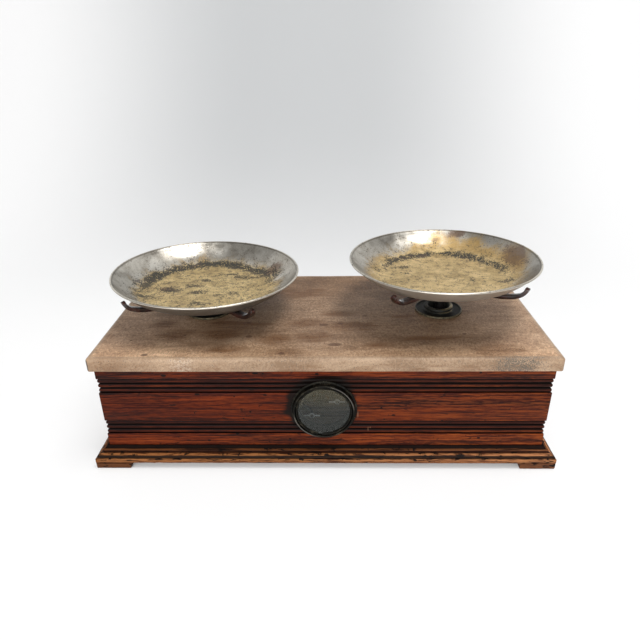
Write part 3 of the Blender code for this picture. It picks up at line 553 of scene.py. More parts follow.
def woodFinish(name, look, grainAxis, reach, marks=None):
    # grain runs along one axis; dirt and painted shade gather in whatever lies back from the outermost
    # planes, whose distances from the middle, across and along, are the reach
    finish = Finish(name, Coat_Roughness=look["coatRoughness"], Coat_Weight=look["coat"],
                    Specular_IOR_Level=0.1)

    def fibre(length, width, depth):
        return (length, depth, width) if grainAxis == "x" else (depth, length, width)

    across, along, up = finish.own()
    back = reach[1] - finish.highest([abs(across) - (reach[0] - reach[1]), abs(along)])

    wander = finish.noise(fibre(60, 14, 20), 2.0, shift=(0.1, 0.2, 0.3))
    broad = finish.noise(fibre(170, 12, 26), 3.0, 0.55, 0.4)
    streaks = finish.noise(fibre(70, 2.0, 6), 4.0, 0.6, 0.3, shift=(0.7, 0.4, 0.2))
    fine = finish.noise(fibre(14, 0.8, 2), 3.0, 0.6, shift=(0.4, 0.1, 0.6))
    tone = 0.42 * broad + 0.36 * streaks + 0.22 * fine
    colour = finish.ramp(tone, [(0.40, look["dark"]), (0.49, look["middle"]), (0.56, look["light"]),
                                (0.63, look["glow"])])

    # long dark lines in the grain
    lines = finish.fall(abs(streaks - 0.46), 0.0, 0.02) * finish.rise(wander, 0.42, 0.58)
    colour = finish.mix(look["lines"] * lines, colour, look["dirtAndShade"])

    # worn, paler crests; painted shade on whatever lies back from them, and dirt with painted shade in the
    # hollows
    crest = finish.fall(back, *look["crest"])
    rubbedAndSheen = crest * finish.rise(0.5 * fine + 0.5 * streaks, *look["rubbedAndSheen"])
    colour = finish.mix(look["wear"] * rubbedAndSheen, colour, finish.mix(fine, look["wornAndHighlit"], look["glow"]))
    colour = finish.mix(look["shade"] * finish.rise(back, *look["crest"]), colour, look["dark"])
    hollow = finish.rise(back + 0.7 * mm * (streaks - 0.5), *look["hollow"])
    colour = finish.mix(look["hollowDirtAndShade"] * hollow, colour, look["dirtAndShade"])

    # polish gone dark towards one end and the top
    if marks:
        gloom = 0.95 - 0.30 * finish.rise(across, *marks["clearer"]) + 1.6 * (broad - 0.5)
        gloom = gloom - 0.45 * finish.fall(up, *marks["clearFoot"])
        gloom = gloom + 0.5 * finish.fall(across, *marks["darkEnd"])
        colour = finish.tint(colour, marks["gloom"], finish.limit(gloom))

    if "quirkLine" in look:
        colour = lineMoulding(finish, look, colour, up, streaks)

    # worm holes and dark bruises
    worm = finish.fall(finish.cells((9, 9, 7)), 0.06, 0.10)
    worm = worm * finish.rise(wander, look["worms"], look["worms"] + 0.03)
    bruise = finish.noise(fibre(13, 4, 9), 3.0, 0.6, 0.6, shift=(0.5, 0.5, 0.1))
    bruises = finish.rise(bruise, look["bruised"], look["bruised"] + 0.07)
    if marks:
        colour, nicks = markFront(finish, look, marks, colour, -reach[1], wander, fine)
        worm = finish.highest([worm, nicks])
    colour = finish.mix(look["bruises"] * bruises, colour, look["dirtAndShade"])
    colour = finish.mix(0.95 * worm, colour, look["dirtAndShade"])

    # browner at one end than at the other
    ends = finish.mix(finish.rise(across, *look["endToEnd"]), look["leftEnd"], look["rightEnd"])
    rough = finish.limit(look["roughness"] + 0.25 * (fine - 0.5) + 0.3 * hollow)
    relief = finish.bump(0.5 * fine + 0.5 * streaks - worm - 0.6 * bruises, look["relief"], 0.6)
    return finish.paint(finish.tint(colour, ends), rough, relief)


caseWood = {
    "endToEnd": (-60 * mm, 240 * mm), "leftEnd": (0.87, 0.76, 0.55), "rightEnd": (1.04, 1.14, 1.10),
    "dark": (0.020, 0.004, 0.002), "middle": (0.080, 0.012, 0.004), "light": (0.205, 0.037, 0.006),
    "glow": (0.38, 0.090, 0.018), "wornAndHighlit": (0.23, 0.050, 0.014), "dirtAndShade": (0.004, 0.002, 0.0015), "lines": 0.75,
    "wear": 0.35, "rubbedAndSheen": (0.47, 0.56), "crest": (0.2 * mm, 0.9 * mm), "shade": 0.35,
    "hollow": (0.85 * mm, 1.4 * mm), "hollowDirtAndShade": 0.97, "worms": 0.56, "bruises": 0.7, "bruised": 0.62,
    "roughness": 0.42, "coat": 0.04, "coatRoughness": 0.3, "relief": 0.35 * mm,
}
plinthWood = {
    **caseWood, "leftEnd": (1.0, 0.92, 0.78), "rightEnd": (1.38, 1.36, 1.40),
    "dark": (0.022, 0.007, 0.004), "middle": (0.075, 0.026, 0.011), "light": (0.172, 0.062, 0.025),
    "glow": (0.43, 0.195, 0.076), "wornAndHighlit": (0.205, 0.077, 0.028), "wear": 0.85, "rubbedAndSheen": (0.43, 0.52),
    "crest": (6.0 * mm, 7.6 * mm), "shade": 0.85, "hollow": (8.3 * mm, 9.2 * mm), "hollowDirtAndShade": 0.9,
    "bruises": 0.97, "bruised": 0.565, "roughness": 0.5, "coat": 0.0, "worms": 0.54,
    "quirkLine": (16.2 * mm, 2.1 * mm), "beadHighlight": (22.3 * mm, 0.6 * mm), "lowEdge": (6 * mm, 14.5 * mm),
}
frontMarks = {
    # x, height, half length, half height of each nick, knot and scratch, in millimetres
    "nicks": [(-188, 126, 5, 2.4), (-80, 129, 5, 2.2), (-71, 129, 1.6, 1.6), (-151, 100, 4.5, 2.2),
              (-70, 99, 3.5, 2), (-157, 73, 1.6, 1.5), (-89, 75, 2, 1.8), (-98, 65, 1.5, 1.5),
              (-107, 42, 3, 2), (-143, 32, 3, 2.2), (-42, 34.5, 1.8, 1.6), (-107, 97, 1.6, 1.5),
              (-8, 128, 3.6, 2), (69, 80.5, 2.2, 1.8), (84, 70, 3.4, 1.6), (73, 64, 1.6, 1.4),
              (190, 36, 3, 1.6), (182, 130, 2.4, 1.6), (143, 62, 2, 1.5)],
    "scratches": [(41, 71, 0.9, 6.5), (54, 49, 0.9, 4.5), (56.5, 51, 0.9, 2)], "pale": (0.30, 0.17, 0.12),
    "ringStainAndShadow": (-4, 4, 57),  # x and height from the window's middle, and reach
    "gloom": (0.58, 0.47, 0.42), "clearer": (-230 * mm, 160 * mm), "clearFoot": (34 * mm, 62 * mm),
    "darkEnd": (-258 * mm, -215 * mm),
}

boards = {
    "thickness": 16 * mm, "lowerBand": 34 * mm, "topBand": 13.5 * mm, "reeds": 3, "pitch": 6.35 * mm,
    "depth": 3.2 * mm, "setBack": 0.7 * mm, "cuts": 110, "seam": 0.2 * mm, "wearDepth": 0.3 * mm,
    "wearSize": 9 * mm, "windowHole": 34 * mm, "lowEdge": 0.2 * mm, "highEdge": 0.4 * mm,
    "brink": [(0.0, 0.5 * mm), (0.25 * mm, 0.1 * mm)],  # inset and distance from a group of reeds
}


def boardOutline(low, high):
    # (inset, height) from the lower outer edge up over both groups of reeds, and down the inner face
    look = boards
    outline = [(look["lowEdge"], low), (0.0, low + look["lowEdge"])]
    group = look["reeds"] * look["pitch"]
    for start in (low + look["lowerBand"], high - look["topBand"] - group):
        outline += [(inset, start - away) for inset, away in look["brink"]]
        for reed in range(look["reeds"]):
            centre = (look["depth"], start + (reed + 0.5) * look["pitch"])
            radii = (look["setBack"] - look["depth"], look["pitch"] / 2)
            outline += arcPoints(centre, radii, -86, 86, 9)
        outline += [(inset, start + group + away) for inset, away in reversed(look["brink"])]
    outline += [(0.0, high - look["highEdge"]), (look["highEdge"], high)]
    return outline + [(look["thickness"], high), (look["thickness"], low)]


def buildRail(outline, reach, halfRun, turn, cuts, seam):
    # a moulded length with mitred ends: drawn from its end, run along the front, then turned to its side
    drawLine([(-halfRun, inset - reach, height) for inset, height in outline], close=True)
    bpy.ops.mesh.extrude_region_move(TRANSFORM_OT_translate={"value": (2 * halfRun, 0, 0)})
    turnOutwards()
    for end in (-1, 1):
        bpy.ops.mesh.select_all(action="SELECT")
        bpy.ops.mesh.bisect(plane_co=(end * (halfRun - seam), -reach, 0), plane_no=(end, 1, 0), use_fill=True,
                            clear_outer=True)
    pick("EDGE", lambda a, b: abs(a.y - b.y) < tiny and abs(a.z - b.z) < tiny)
    bpy.ops.mesh.subdivide(number_cuts=cuts)
    objectMode()
    rail = bpy.context.object
    place(rail, turn=(0, 0, turn))
    return rail


def buildFrame(outline, look, halfLength, halfDepth, woods):
    # four mitred lengths round the case, worn, one after the other with their sides and woods
    turns = {"front": 0, "back": math.pi, "right": math.pi / 2, "left": -math.pi / 2}
    for side, turn in turns.items():
        longways = side in ("front", "back")
        reach, halfRun = (halfDepth, halfLength) if longways else (halfLength, halfDepth)
        cuts = look["cuts"] if longways else look["cuts"] // 2
        rail = buildRail(outline, reach, halfRun, turn, cuts, look["seam"])
        wearDown(rail, look)
        yield side, rail, woods.get(side, woods["long" if longways else "end"])


def buildBoards():
    look = boards
    low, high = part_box("case_front")
    reach = (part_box("case_right")[1].x, -low.y)
    woods = {
        "front": woodFinish("caseWalnutFront", caseWood, "x", reach, frontMarks),
        "long": woodFinish("caseWalnutLong", caseWood, "x", reach),
        "end": woodFinish("caseWalnutEnd", caseWood, "y", reach),
    }
    for side, board, wood in buildFrame(boardOutline(low.z, high.z), look, *reach, woods):
        if side == "front":
            drill(board, look["windowHole"], windowCentre, low, high, "y", 96)
        finishPiece(board, "case" + side.title() + "Board", wood, "case", "walnut", "case_" + side)
    print("case boards built")


plinth = {
    "fillet": 6.6 * mm, "quirk": 1.4 * mm, "quirkDepth": 1.9 * mm, "ogee": (6 * mm, 3.6 * mm), "step": 1 * mm,
    "bead": 1.1 * mm, "cove": 3.9 * mm, "projection": 14.7 * mm, "cuts": 120, "seam": 0.2 * mm,
    "wearDepth": 0.7 * mm, "wearSize": 7 * mm, "footEdge": 1.5 * mm,
    # inset and distance from the fillet's lower and upper face
    "lowEdge": [(0.7 * mm, 0.0), (0.2 * mm, 0.2 * mm), (0.0, 0.9 * mm)],
    "highEdge": [(0.0, 1.1 * mm), (0.3 * mm, 0.3 * mm), (1.0 * mm, 0.0)],
}


def plinthOutline(low):
    # from the bottom up: worn fillet, quirk, ogee, bead and cove
    look = plinth
    height = low + look["fillet"]
    ogeeLow = height + look["quirk"] * 0.5
    outline = [(look["projection"], low)] + [(inset, low + up) for inset, up in look["lowEdge"]]
    outline += [(inset, height - down) for inset, down in look["highEdge"]]
    outline += [(look["quirkDepth"], height), (look["quirkDepth"], ogeeLow)]
    width, rise = look["ogee"]
    outline += arcPoints((look["quirk"] + width, ogeeLow), (-width, rise), 4, 90, 10)
    inset = look["quirk"] + width + look["step"]
    outline.append((inset, ogeeLow + rise))
    beadMiddle = (inset + look["bead"] * 0.5, ogeeLow + rise + look["quirk"] + look["bead"])
    outline += arcPoints(beadMiddle, (-look["bead"], look["bead"]), -60, 120, 7)
    coveCentre = (inset + look["bead"], beadMiddle[1] + look["bead"] + look["cove"])
    cove = arcPoints(coveCentre, (look["cove"], -look["cove"]), 90, 10, 8)
    return outline + cove + [(look["projection"], cove[-1][1])]


def buildPlinth():
    look = plinth
    low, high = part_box("base_moulding_front")
    reach = (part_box("base_moulding_right")[1].x, -low.y)
    woods = {
        "long": woodFinish("plinthWoodLong", plinthWood, "x", reach),
        "end": woodFinish("plinthWoodEnd", plinthWood, "y", reach),
    }
    for side, rail, wood in buildFrame(plinthOutline(low.z), look, *reach, woods):
        finishPiece(rail, "plinth-" + side, wood, "case", "worn_walnut", "base_moulding_" + side)

    for node in [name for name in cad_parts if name.startswith("foot_")]:
        low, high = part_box(node)
        foot = addBlock(low, high)
        editMode()
        pick("EDGE", lambda a, b: max(a.z, b.z) < tiny or abs(a.z - b.z) > mm)
        bpy.ops.mesh.bevel(offset=look["footEdge"], segments=3)
        bpy.ops.mesh.select_all(action="SELECT")
        bpy.ops.mesh.subdivide(number_cuts=7)
        objectMode()
        wearDown(foot, look, 0.4)
        pad = node.replace("foot_", "pad-").replace("_", "-")
        finishPiece(foot, pad, woods["long"], "case", "worn_walnut", node)
    print("plinth and feet built")


# window
windowRing = {
    "hole": 34 * mm, "gap": 0.3 * mm, "lip": 37.3 * mm, "lipRadius": 1.4 * mm, "flange": 40 * mm,
    "flangeEdge": 1.3 * mm, "hollow": (1.5 * mm, 2.7 * mm), "hollowRadii": (0.9 * mm, 1.1 * mm),
    "neck": 3.6 * mm, "projection": 8 * mm, "sleeve": 10 * mm, "wall": 1.7 * mm, "glass": 2 * mm,
    "glassBack": 3.1 * mm, "soft": 0.4 * mm, "backSoft": 0.3 * mm, "sight": 31 * mm, "retainer": 1.8 * mm,
    "split": math.radians(9), "sides": 128, "wearDepth": 0.25 * mm, "wearSize": 6 * mm,
    "film": ((0.054, 0.058, 0.054), (0.105, 0.094, 0.062)), "filmStrength": 0.36,
}


def turnRing(profile, close=True, angle=math.tau):
    # (radius, distance in front of the case) points, spun round the window's middle
    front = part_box("case_front")[0].y
    points = [(radius, front - forward, windowCentre.z) for radius, forward in profile]
    return turnProfile(points, (0, front, windowCentre.z), (0, 1, 0), windowRing["sides"], close, angle)


def bezelProfile(sleeve, seat):
    # from the sleeve's inner end over the flange, up and over the lip, and down to the seat of the glass
    look = windowRing
    gap, flange, lip, radius, soft = [look[key] for key in ("gap", "flange", "lip", "lipRadius", "soft")]
    face = gap + look["flangeEdge"]
    top = look["projection"]
    backSoft = look["backSoft"]
    profile = [(sleeve, -look["sleeve"]), (sleeve, gap), (flange - backSoft, gap), (flange, gap + backSoft)]
    profile += [(flange, face - soft), (flange - soft, face)]
    out, up = look["hollow"]
    profile += arcPoints((lip + out, gap + up), look["hollowRadii"], -80, -175, 5)
    profile.append((lip, gap + look["neck"]))
    profile += arcPoints((lip - radius, top - radius), (radius, radius), 0, 180, 12)
    profile += [(lip - 2 * radius - 0.1 * mm, top - 2 * radius), (look["hole"], seat)]
    return profile + [(sleeve - look["wall"], seat), (sleeve - look["wall"], -look["sleeve"])]


def buildWindow():
    look = windowRing
    rim = look["hole"] - look["gap"]
    back = look["projection"] - look["glassBack"] - look["glass"]
    bezel = turnRing(bezelProfile(rim, back - look["gap"]))
    wearDown(bezel, look)
    bronze = darkBrassFinish("windowBronze", 0.5, look["lip"] - look["lipRadius"])
    finishPiece(bezel, "windowBezel", bronze, "case", "dark_brass", "window_bezel")

    face, soft = back + look["glass"], look["soft"]
    disc = [(0, back), (rim - soft, back), (rim, back + soft), (rim, face - soft), (rim - soft, face),
            (rim * 0.5, face), (0, face)]
    finishPiece(turnRing(disc, close=False), "windowGlass", glassFinish(), "case", "glass", "window_glass")

    low, sight, thick = face + look["gap"], look["sight"], look["retainer"]
    section = [(sight, low), (rim, low), (rim, low + thick * 0.8), (rim - thick * 0.25, low + thick)]
    section += [(sight + thick * 0.7, low + thick), (sight + thick * 0.25, low + thick * 0.6)]
    retainer = turnRing(section, angle=math.tau - look["split"])
    # turned about the window's middle until its split is at the bottom
    centre = Vector((0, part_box("case_front")[0].y, windowCentre.z))
    place(retainer, move=-centre)
    place(retainer, turn=(0, math.radians(90) + look["split"] / 2 - math.tau, 0), move=centre)
    finishPiece(retainer, "windowRetainer", bronze, "case", "dark_brass", "window_retainer")
    print("window built")


def glassFinish():
    # an even film of dust and smears, browner towards the top, where the brown is a painted reflection
    finish = Finish("dustyGlass", IOR=1.5, Specular_IOR_Level=0.3)
    across, along, up = finish.split(finish.spot(windowCentre))
    radius = finish.distance(across, up)
    smears = finish.noise((7, 7, 30), 4.0, 0.6, 0.5)
    # the browner top is a painted reflection
    browner = finish.rise(up + 20 * mm * (smears - 0.5), 0.0, 26 * mm)
    finish.feed("Base Color", finish.mix(browner, *windowRing["film"]))
    rim = finish.rise(radius, 25 * mm, 32 * mm)
    film = windowRing["filmStrength"] + 0.2 * (smears - 0.5) + 0.15 * rim
    finish.feed("Alpha", finish.limit(film))
    finish.feed("Roughness", 0.03 + 0.06 * smears)
    return finish


darkBrass = {
    "tones": [(0.40, (0.007, 0.007, 0.006)), (0.52, (0.016, 0.015, 0.012)), (0.62, (0.075, 0.066, 0.048))],
    "rubbedAndSheen": (0.15, 0.14, 0.125),
}


def darkBrassFinish(name, shine, crest=None):
    # tarnished almost black, rubbed back to brass in places; a lip's crest gets a painted highlight
    finish = Finish(name, Specular_IOR_Level=0.5)
    cloud = finish.noise((9, 9, 9), 4.0, 0.6)
    fine = finish.noise((1.4, 1.4, 1.4), 3.0, 0.6)
    tone = 0.6 * cloud + 0.4 * fine
    colour = finish.ramp(tone, darkBrass["tones"])
    rubbedAndSheen = 0.0
    # a painted highlight along the lip's crest on the two sides that face the light
    if crest:
        # the lip is rubbed bright on two sides
        across, along, up = finish.split(finish.spot(windowCentre))
        radius = finish.distance(across, up)
        facingLight = abs((across * 0.75 + up * 0.66) / radius)
        rubbedAndSheen = finish.fall(abs(radius - crest), 0.2 * mm, 0.7 * mm)
        rubbedAndSheen = rubbedAndSheen * finish.rise(facingLight + 0.5 * (tone - 0.5), 0.72, 0.98)
        colour = finish.mix(rubbedAndSheen, colour, darkBrass["rubbedAndSheen"])
    metallic = finish.rise(tone, 0.3, 0.5) * 0.6 + 0.4
    rough = finish.limit(shine * 0.6 + 0.3 * fine - 0.2 * rubbedAndSheen)
    return finish.paint(colour, rough, finish.bump(fine, 0.15 * mm, 0.4), metallic)


# collars
collar = {
    "bore": 12.5 * mm, "wall": 2 * mm, "ring": 16.6 * mm, "ringSize": 2.6 * mm, "ringLift": 3.6 * mm,
    "plate": 1.5 * mm, "radius": 31 * mm, "bead": 1.1 * mm, "hollow": (1.6 * mm, 1.3 * mm), "gap": 0.3 * mm,
    "sides": 96, "dark": [(0.4, (0.005, 0.006, 0.005)), (0.6, (0.016, 0.016, 0.012))],
    "brass": ((0.20, 0.16, 0.09), (0.46, 0.38, 0.22)),
}


def collarFinish():
    # nearly black, with a painted highlight on the side of the ring that faces the light, and a lighter outer
    # edge, partly worn and partly a painted highlight
    look = collar
    finish = Finish("collarBrass")
    centres = {name: middleOf(name + "_collar") for name in sides}
    across, along, up = finish.own()
    leftward = finish.fall(across, -0.1 * mm, 0.1 * mm)
    middleX = leftward * centres["left"].x + (1.0 - leftward) * centres["right"].x
    radius = finish.distance(across - middleX, along - centres["left"].y)
    fine = finish.noise((1.6, 1.6, 1.6), 3.0, 0.6)
    cloud = finish.noise((8, 8, 8), 3.0, 0.6)
    ringTop = finish.fall(abs(radius - look["ring"]), 0.8 * mm, 2.6 * mm)
    edge = finish.rise(radius, look["radius"] - 1.8 * mm, look["radius"] - 0.9 * mm)
    wornAndHighlit = finish.rise(0.6 * cloud + 0.4 * fine, 0.42, 0.56)
    facing = ((across - middleX) * 0.8 - along * 0.6) / radius
    lit = 0.12 * wornAndHighlit + 0.85 * finish.rise(facing + 0.3 * (fine - 0.5), 0.35, 0.95)
    highlightAndWear = finish.highest([ringTop * lit, edge * (0.12 + 0.3 * wornAndHighlit)])
    colour = finish.mix(highlightAndWear, finish.ramp(cloud, look["dark"]), finish.mix(fine, *look["brass"]))
    relief = finish.bump(fine, 0.1 * mm, 0.3)
    return finish.paint(colour, 0.5 - 0.28 * highlightAndWear + 0.15 * fine, relief, 0.35 + 0.65 * highlightAndWear)


def buildCollars():
    look = collar
    finish = collarFinish()
    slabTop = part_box("marble_top")[1].z
    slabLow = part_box("left_collar")[0].z
    sleeve = look["bore"] + look["wall"]
    low = slabTop + look["gap"]
    ringHeight = low + look["plate"] + look["ringLift"]
    dish = low + look["plate"] * 0.7
    bead = look["bead"]
    profile = [(look["bore"], slabLow), (look["bore"], ringHeight - look["ringSize"])]
    profile += arcPoints((look["ring"], ringHeight), (look["ringSize"], look["ringSize"]), 185, -65, 20)
    hollow = (look["ring"] + look["ringSize"] * 1.45, dish + look["hollow"][1])
    profile += arcPoints(hollow, look["hollow"], 200, 270, 6)
    profile += [(look["radius"] - 3.2 * bead, dish), (look["radius"] - 2.2 * bead, dish + 0.05 * mm)]
    profile += arcPoints((look["radius"] - bead, low + look["plate"] - 0.1 * mm), (bead, bead), 175, 0, 10)
    profile += [(look["radius"], low), (sleeve, low), (sleeve, slabLow)]
    for name in sides:
        centre = middleOf(name + "_collar")
        points = [(centre.x + radius, centre.y, height) for radius, height in profile]
        ring = turnProfile(points, (centre.x, centre.y, 0), (0, 0, 1), look["sides"], close=True)
        finishPiece(ring, name + "Collar", finish, "case", "dark_brass", name + "_collar")
    print("collars built")


# pans
pan = {
    "radius": 120.5 * mm, "depth": 27.5 * mm, "floor": 72 * mm, "lip": 2.4 * mm, "lipReach": 1.39 * mm,
    "sheet": {"left": 1.25 * mm, "right": 1.2 * mm}, "lean": math.radians(1), "wallSteps": 20, "sides": 144,
    "curve": ((0.45, 0.04), (0.22, 0.5)),  # how far the wall's two handles go, as shares of its size
    "nickel": [(0.40, (0.31, 0.285, 0.245)), (0.5, (0.47, 0.44, 0.385)), (0.60, (0.60, 0.575, 0.52))],
    "lipColour": (0.64, 0.60, 0.52), "seam": (0.10, 0.085, 0.065), "halo": (0.15, 0.115, 0.065),
    "golden": ((0.33, 0.205, 0.07), (0.47, 0.32, 0.135)), "brown": (0.15, 0.085, 0.05),
    "soot": ((0.015, 0.018, 0.018), (0.050, 0.034, 0.027)),
}


def panFoot(name):
    # the middle of the pan's underside, from its box and its lean
    low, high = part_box(name + "_pan")
    lipHeight = pan["depth"] - pan["lip"] / 2
    widest = pan["radius"] - pan["lipReach"]
    x = (low.x + high.x) / 2 + sides[name] * lipHeight * math.sin(pan["lean"])
    z = high.z - pan["depth"] * math.cos(pan["lean"]) - widest * math.sin(pan["lean"])
    return Vector((x, 0, z))


def panWall():
    # outer (radius, height) points from the edge of the floor to the lip
    look = pan
    start = Vector((look["floor"], 0, 0))
    stop = Vector((look["radius"] - look["lip"], look["depth"] - look["lip"] * 0.9, 0))
    first, second = [(stop - start) * Vector((out, up, 0)) for out, up in look["curve"]]
    first, second = start + first, stop - second
    return [(point.x, point.y) for point in interpolate_bezier(start, first, second, stop, look["wallSteps"])]


panLooks = {
    # x, y, half length and half width of each blotch and browned patch, in millimetres
    "left": {
        "bareEdge": (84 * mm, 102 * mm), "bareTowards": (0.2, 0.98), "bareReach": 0.0,
        "brass": ((0.41, 0.295, 0.135), (0.62, 0.465, 0.225), (0.76, 0.595, 0.31)),
        "ring": 84 * mm, "ringHalf": 13 * mm, "ringTowards": (-0.25, 0.97), "ringFrom": -0.35,
        "speckled": 0.016, "under": (0.080, 0.062, 0.045), "plate": (1.0, 1.0, 1.0), "seed": 0.0,
        "blotches": [(-22, 7, 15, 9), (-7, 27, 12, 7), (-10, -14, 15, 10), (36, -17, 13, 8), (20, -24, 12, 8),
                     (-90, 0, 18, 16), (42, 41, 34, 7), (20, 50, 22, 6), (-2, -50, 20, 8), (-48, -8, 22, 16),
                     (84, 44, 26, 22), (-78, -34, 20, 12)],
        "browned": [(84, 52, 24, 20), (-52, -4, 16, 12)],
    },
    "right": {
        "bareEdge": (86 * mm, 106 * mm), "bareTowards": (0.74, 0.67), "bareReach": 14 * mm,
        "brass": ((0.37, 0.262, 0.112), (0.58, 0.43, 0.21), (0.72, 0.55, 0.29)),
        "ring": 81 * mm, "ringHalf": 10 * mm, "ringTowards": (0.2, 0.98), "ringFrom": -0.1,
        "speckled": -0.006, "under": (0.34, 0.28, 0.22), "plate": (0.86, 0.86, 0.86), "seed": 0.4,
        "blotches": [(12, 80, 24, 9), (36, 76, 16, 8), (-52, 62, 26, 10), (60, 54, 26, 9), (82, 20, 16, 12),
                     (78, -26, 16, 12), (-86, 22, 16, 10), (-52, 32, 24, 10), (-46, 10, 9, 5),
                     (38, -19, 9, 5), (6, 104, 12, 5), (40, 106, 20, 5)],
        "browned": [(104, 30, 26, 56), (40, 108, 34, 9), (10, 107, 14, 6)],
    },
}


def panFinish(name):
    # nickel over brass: plated wall and lip, floor worn to brass, black tarnish where the floor turns up
    look = panLooks[name]
    finish = Finish(name + "PanPlate")
    foot = panFoot(name)
    local = finish.spot(foot, (0, -sides[name] * pan["lean"], 0))
    across, along, up = finish.split(local)
    radius = finish.distance(across, along)
    seed = look["seed"]

    def grainOf(size, shift, detail=4.0, roughness=0.65, distortion=0.0):
        return finish.noise(size, detail, roughness, distortion, shift=(seed, shift, 0))

    def towards(way):
        return (across * way[0] + along * way[1]) / radius

    def patch(x, y, long, wide):
        return finish.near((foot.x + x * mm, y * mm, foot.z), (long * mm, wide * mm, 60 * mm))

    def patches(rows):
        return finish.highest([patch(*row) for row in rows])

    cloud = grainOf((24, 24, 24), 0.0, 4.0, 0.6, 0.4)
    clump = grainOf((8, 9, 8), 0.3, 3.0, 0.6, 0.3)
    fine = grainOf((2.1, 3.0, 2.1), 0.1, 4.0, 0.7)
    grit = grainOf((1.2, 1.7, 1.2), 0.2, 2.0, 0.6)
    streaky = grainOf((9, 3, 9), 0.5, 3.0, 0.6)

    # where the plating has gone
    inside = finish.rise(finish.split(finish.node("NewGeometry", out="Normal"))[2], 0.0, 0.1)
    edge = radius + 40 * mm * (cloud - 0.5) + 26 * mm * (fine - 0.5)
    edge = edge - look["bareReach"] * finish.rise(towards(look["bareTowards"]), 0.3, 0.9)
    bare = finish.fall(edge, *look["bareEdge"]) * inside
    nickel = finish.tint(finish.ramp(0.6 * cloud + 0.4 * fine, pan["nickel"]), look["plate"])
    tone = 0.4 * cloud + 0.35 * fine + 0.25 * streaky
    brass = finish.ramp(tone, list(zip((0.42, 0.5, 0.58), look["brass"])))
    golden = finish.rise(radius, 84 * mm, 100 * mm)
    brass = finish.mix(0.7 * golden, brass, finish.mix(fine, *pan["golden"]))
    outside = 1.0 - inside
    lip = finish.rise(radius, pan["radius"] - 2.6 * mm, pan["radius"] - 2.2 * mm)
    nickel = finish.mix(0.9 * lip, nickel, pan["lipColour"])
    nickel = finish.mix(0.8 * outside * (1.0 - lip), nickel, look["under"])
    # a dark line where the bead meets the wall: dirt, with painted shade in the crease
    seam = finish.fall(abs(radius - pan["radius"] + 3.0 * mm), 0.3 * mm, 1.2 * mm)
    nickel = finish.mix(0.6 * seam, nickel, pan["seam"])
    colour = finish.mix(bare, nickel, brass)

    # tarnish gathers in a ring, in blotches and in specks
    half = look["ringHalf"]
    ring = finish.fall(abs(radius + 22 * mm * (cloud - 0.5) - look["ring"]), 0.2 * half, half)
    ring = ring * finish.rise(towards(look["ringTowards"]), look["ringFrom"], 0.55)
    gathered = finish.highest([0.110 * ring, 0.078 * patches(look["blotches"])])
    speckle = 0.34 * clump + 0.66 * fine
    within = finish.fall(radius, 92 * mm, 112 * mm)
    settled = speckle + (gathered + look["speckled"] + 0.03) * within - 0.03
    tarnish = finish.rise(settled, 0.548, 0.582)
    flecks = finish.rise(grit + 0.5 * (settled - 0.5), 0.62, 0.67) * within
    dark = finish.highest([tarnish, 0.8 * flecks]) * inside
    browner = finish.rise(0.5 * cloud + 0.5 * clump, 0.52, 0.62)
    soot = finish.mix(browner, *pan["soot"])
    halo = finish.rise(settled, 0.49, 0.56) * inside
    colour = finish.mix(0.35 * halo, colour, pan["halo"])
    browned = patches(look["browned"]) + 2.2 * (cloud - 0.5) + 1.4 * (fine - 0.5)
    colour = finish.mix(0.75 * finish.rise(browned, 0.35, 0.9) * inside, colour, pan["brown"])
    colour = finish.mix(dark * finish.limit(0.66 + 2.6 * gathered), colour, soot)
    metallic = finish.limit(1.0 - 0.35 * bare - 0.6 * dark - 0.4 * outside)
    rough = 0.32 + 0.18 * bare + 0.3 * dark + 0.16 * (fine - 0.5) + 0.2 * (cloud - 0.5) + 0.12 * outside
    rough = finish.limit(rough * (1.0 - lip) + 0.3 * lip)
    hammered = finish.bump(grainOf((30, 30, 30), 0.7, 1.0), 1.6 * mm, 0.7)
    relief = finish.bump((0.5 * fine - 0.8 * dark) * (1.0 - lip), 0.12 * mm, 0.4, hammered)
    return finish.paint(colour, rough, relief, metallic)


def buildPans():
    look = pan
    for name, side in sides.items():
        sheet = look["sheet"][name]
        outer = panWall()
        bead = arcPoints((look["radius"] - look["lipReach"], look["depth"] - look["lip"] / 2),
                         (look["lipReach"], look["lip"] / 2), -95, 168, 16)
        profile = [(0, 0), (look["floor"] * 0.5, 0), *outer, *bead, *shiftLine(outer, sheet)[::-1]]
        profile += [(look["floor"] * 0.66, sheet), (look["floor"] * 0.33, sheet), (0, sheet)]
        dish = turnUpright(profile, look["sides"])
        place(dish, turn=(0, -side * look["lean"], 0), move=panFoot(name))
        node = name + "_pan"
        finishPiece(dish, name + "Pan", panFinish(name), node, "nickelled_brass", node, smooth=50)
    print("pans built")


# pan supports
support = {
    "hub": 17 * mm, "hubHeight": 9 * mm, "hubEdge": 1 * mm, "stem": 7 * mm, "shoulder": 2 * mm,
    "shoulderHeights": (3 * mm, 4.5 * mm), "flareDepth": 12 * mm, "spigot": 5.5 * mm,
    "spigotLength": 12 * mm, "pin": 2.3 * mm, "pinDown": 4 * mm, "gap": 0.3 * mm, "sides": 64,
    "armWidth": 12 * mm, "armThickness": 4.8 * mm, "armSteps": 22, "armEdge": 1.4 * mm, "tipRound": 3.6 * mm,
    "armRun": [(9 * mm, -7.2 * mm), (72 * mm, -8.6 * mm), (110 * mm, -8.0 * mm), (113 * mm, 12.0 * mm)],
    "taperFrom": [part * mm for part in (60, 76, 90, 100, 106, 110)], "taper": 0.9,
    "armTurn": {"left": math.radians(-2.4), "right": math.radians(0.5)},
    "turn": {"left": math.radians(-4), "right": math.radians(4.5)},
    "red": [(0.40, (0.005, 0.002, 0.002)), (0.5, (0.015, 0.003, 0.003)), (0.60, (0.045, 0.006, 0.004))],
    "chipped": ((0.022, 0.018, 0.016), (0.10, 0.085, 0.07)), "stemColour": (0.006, 0.005, 0.005),
}


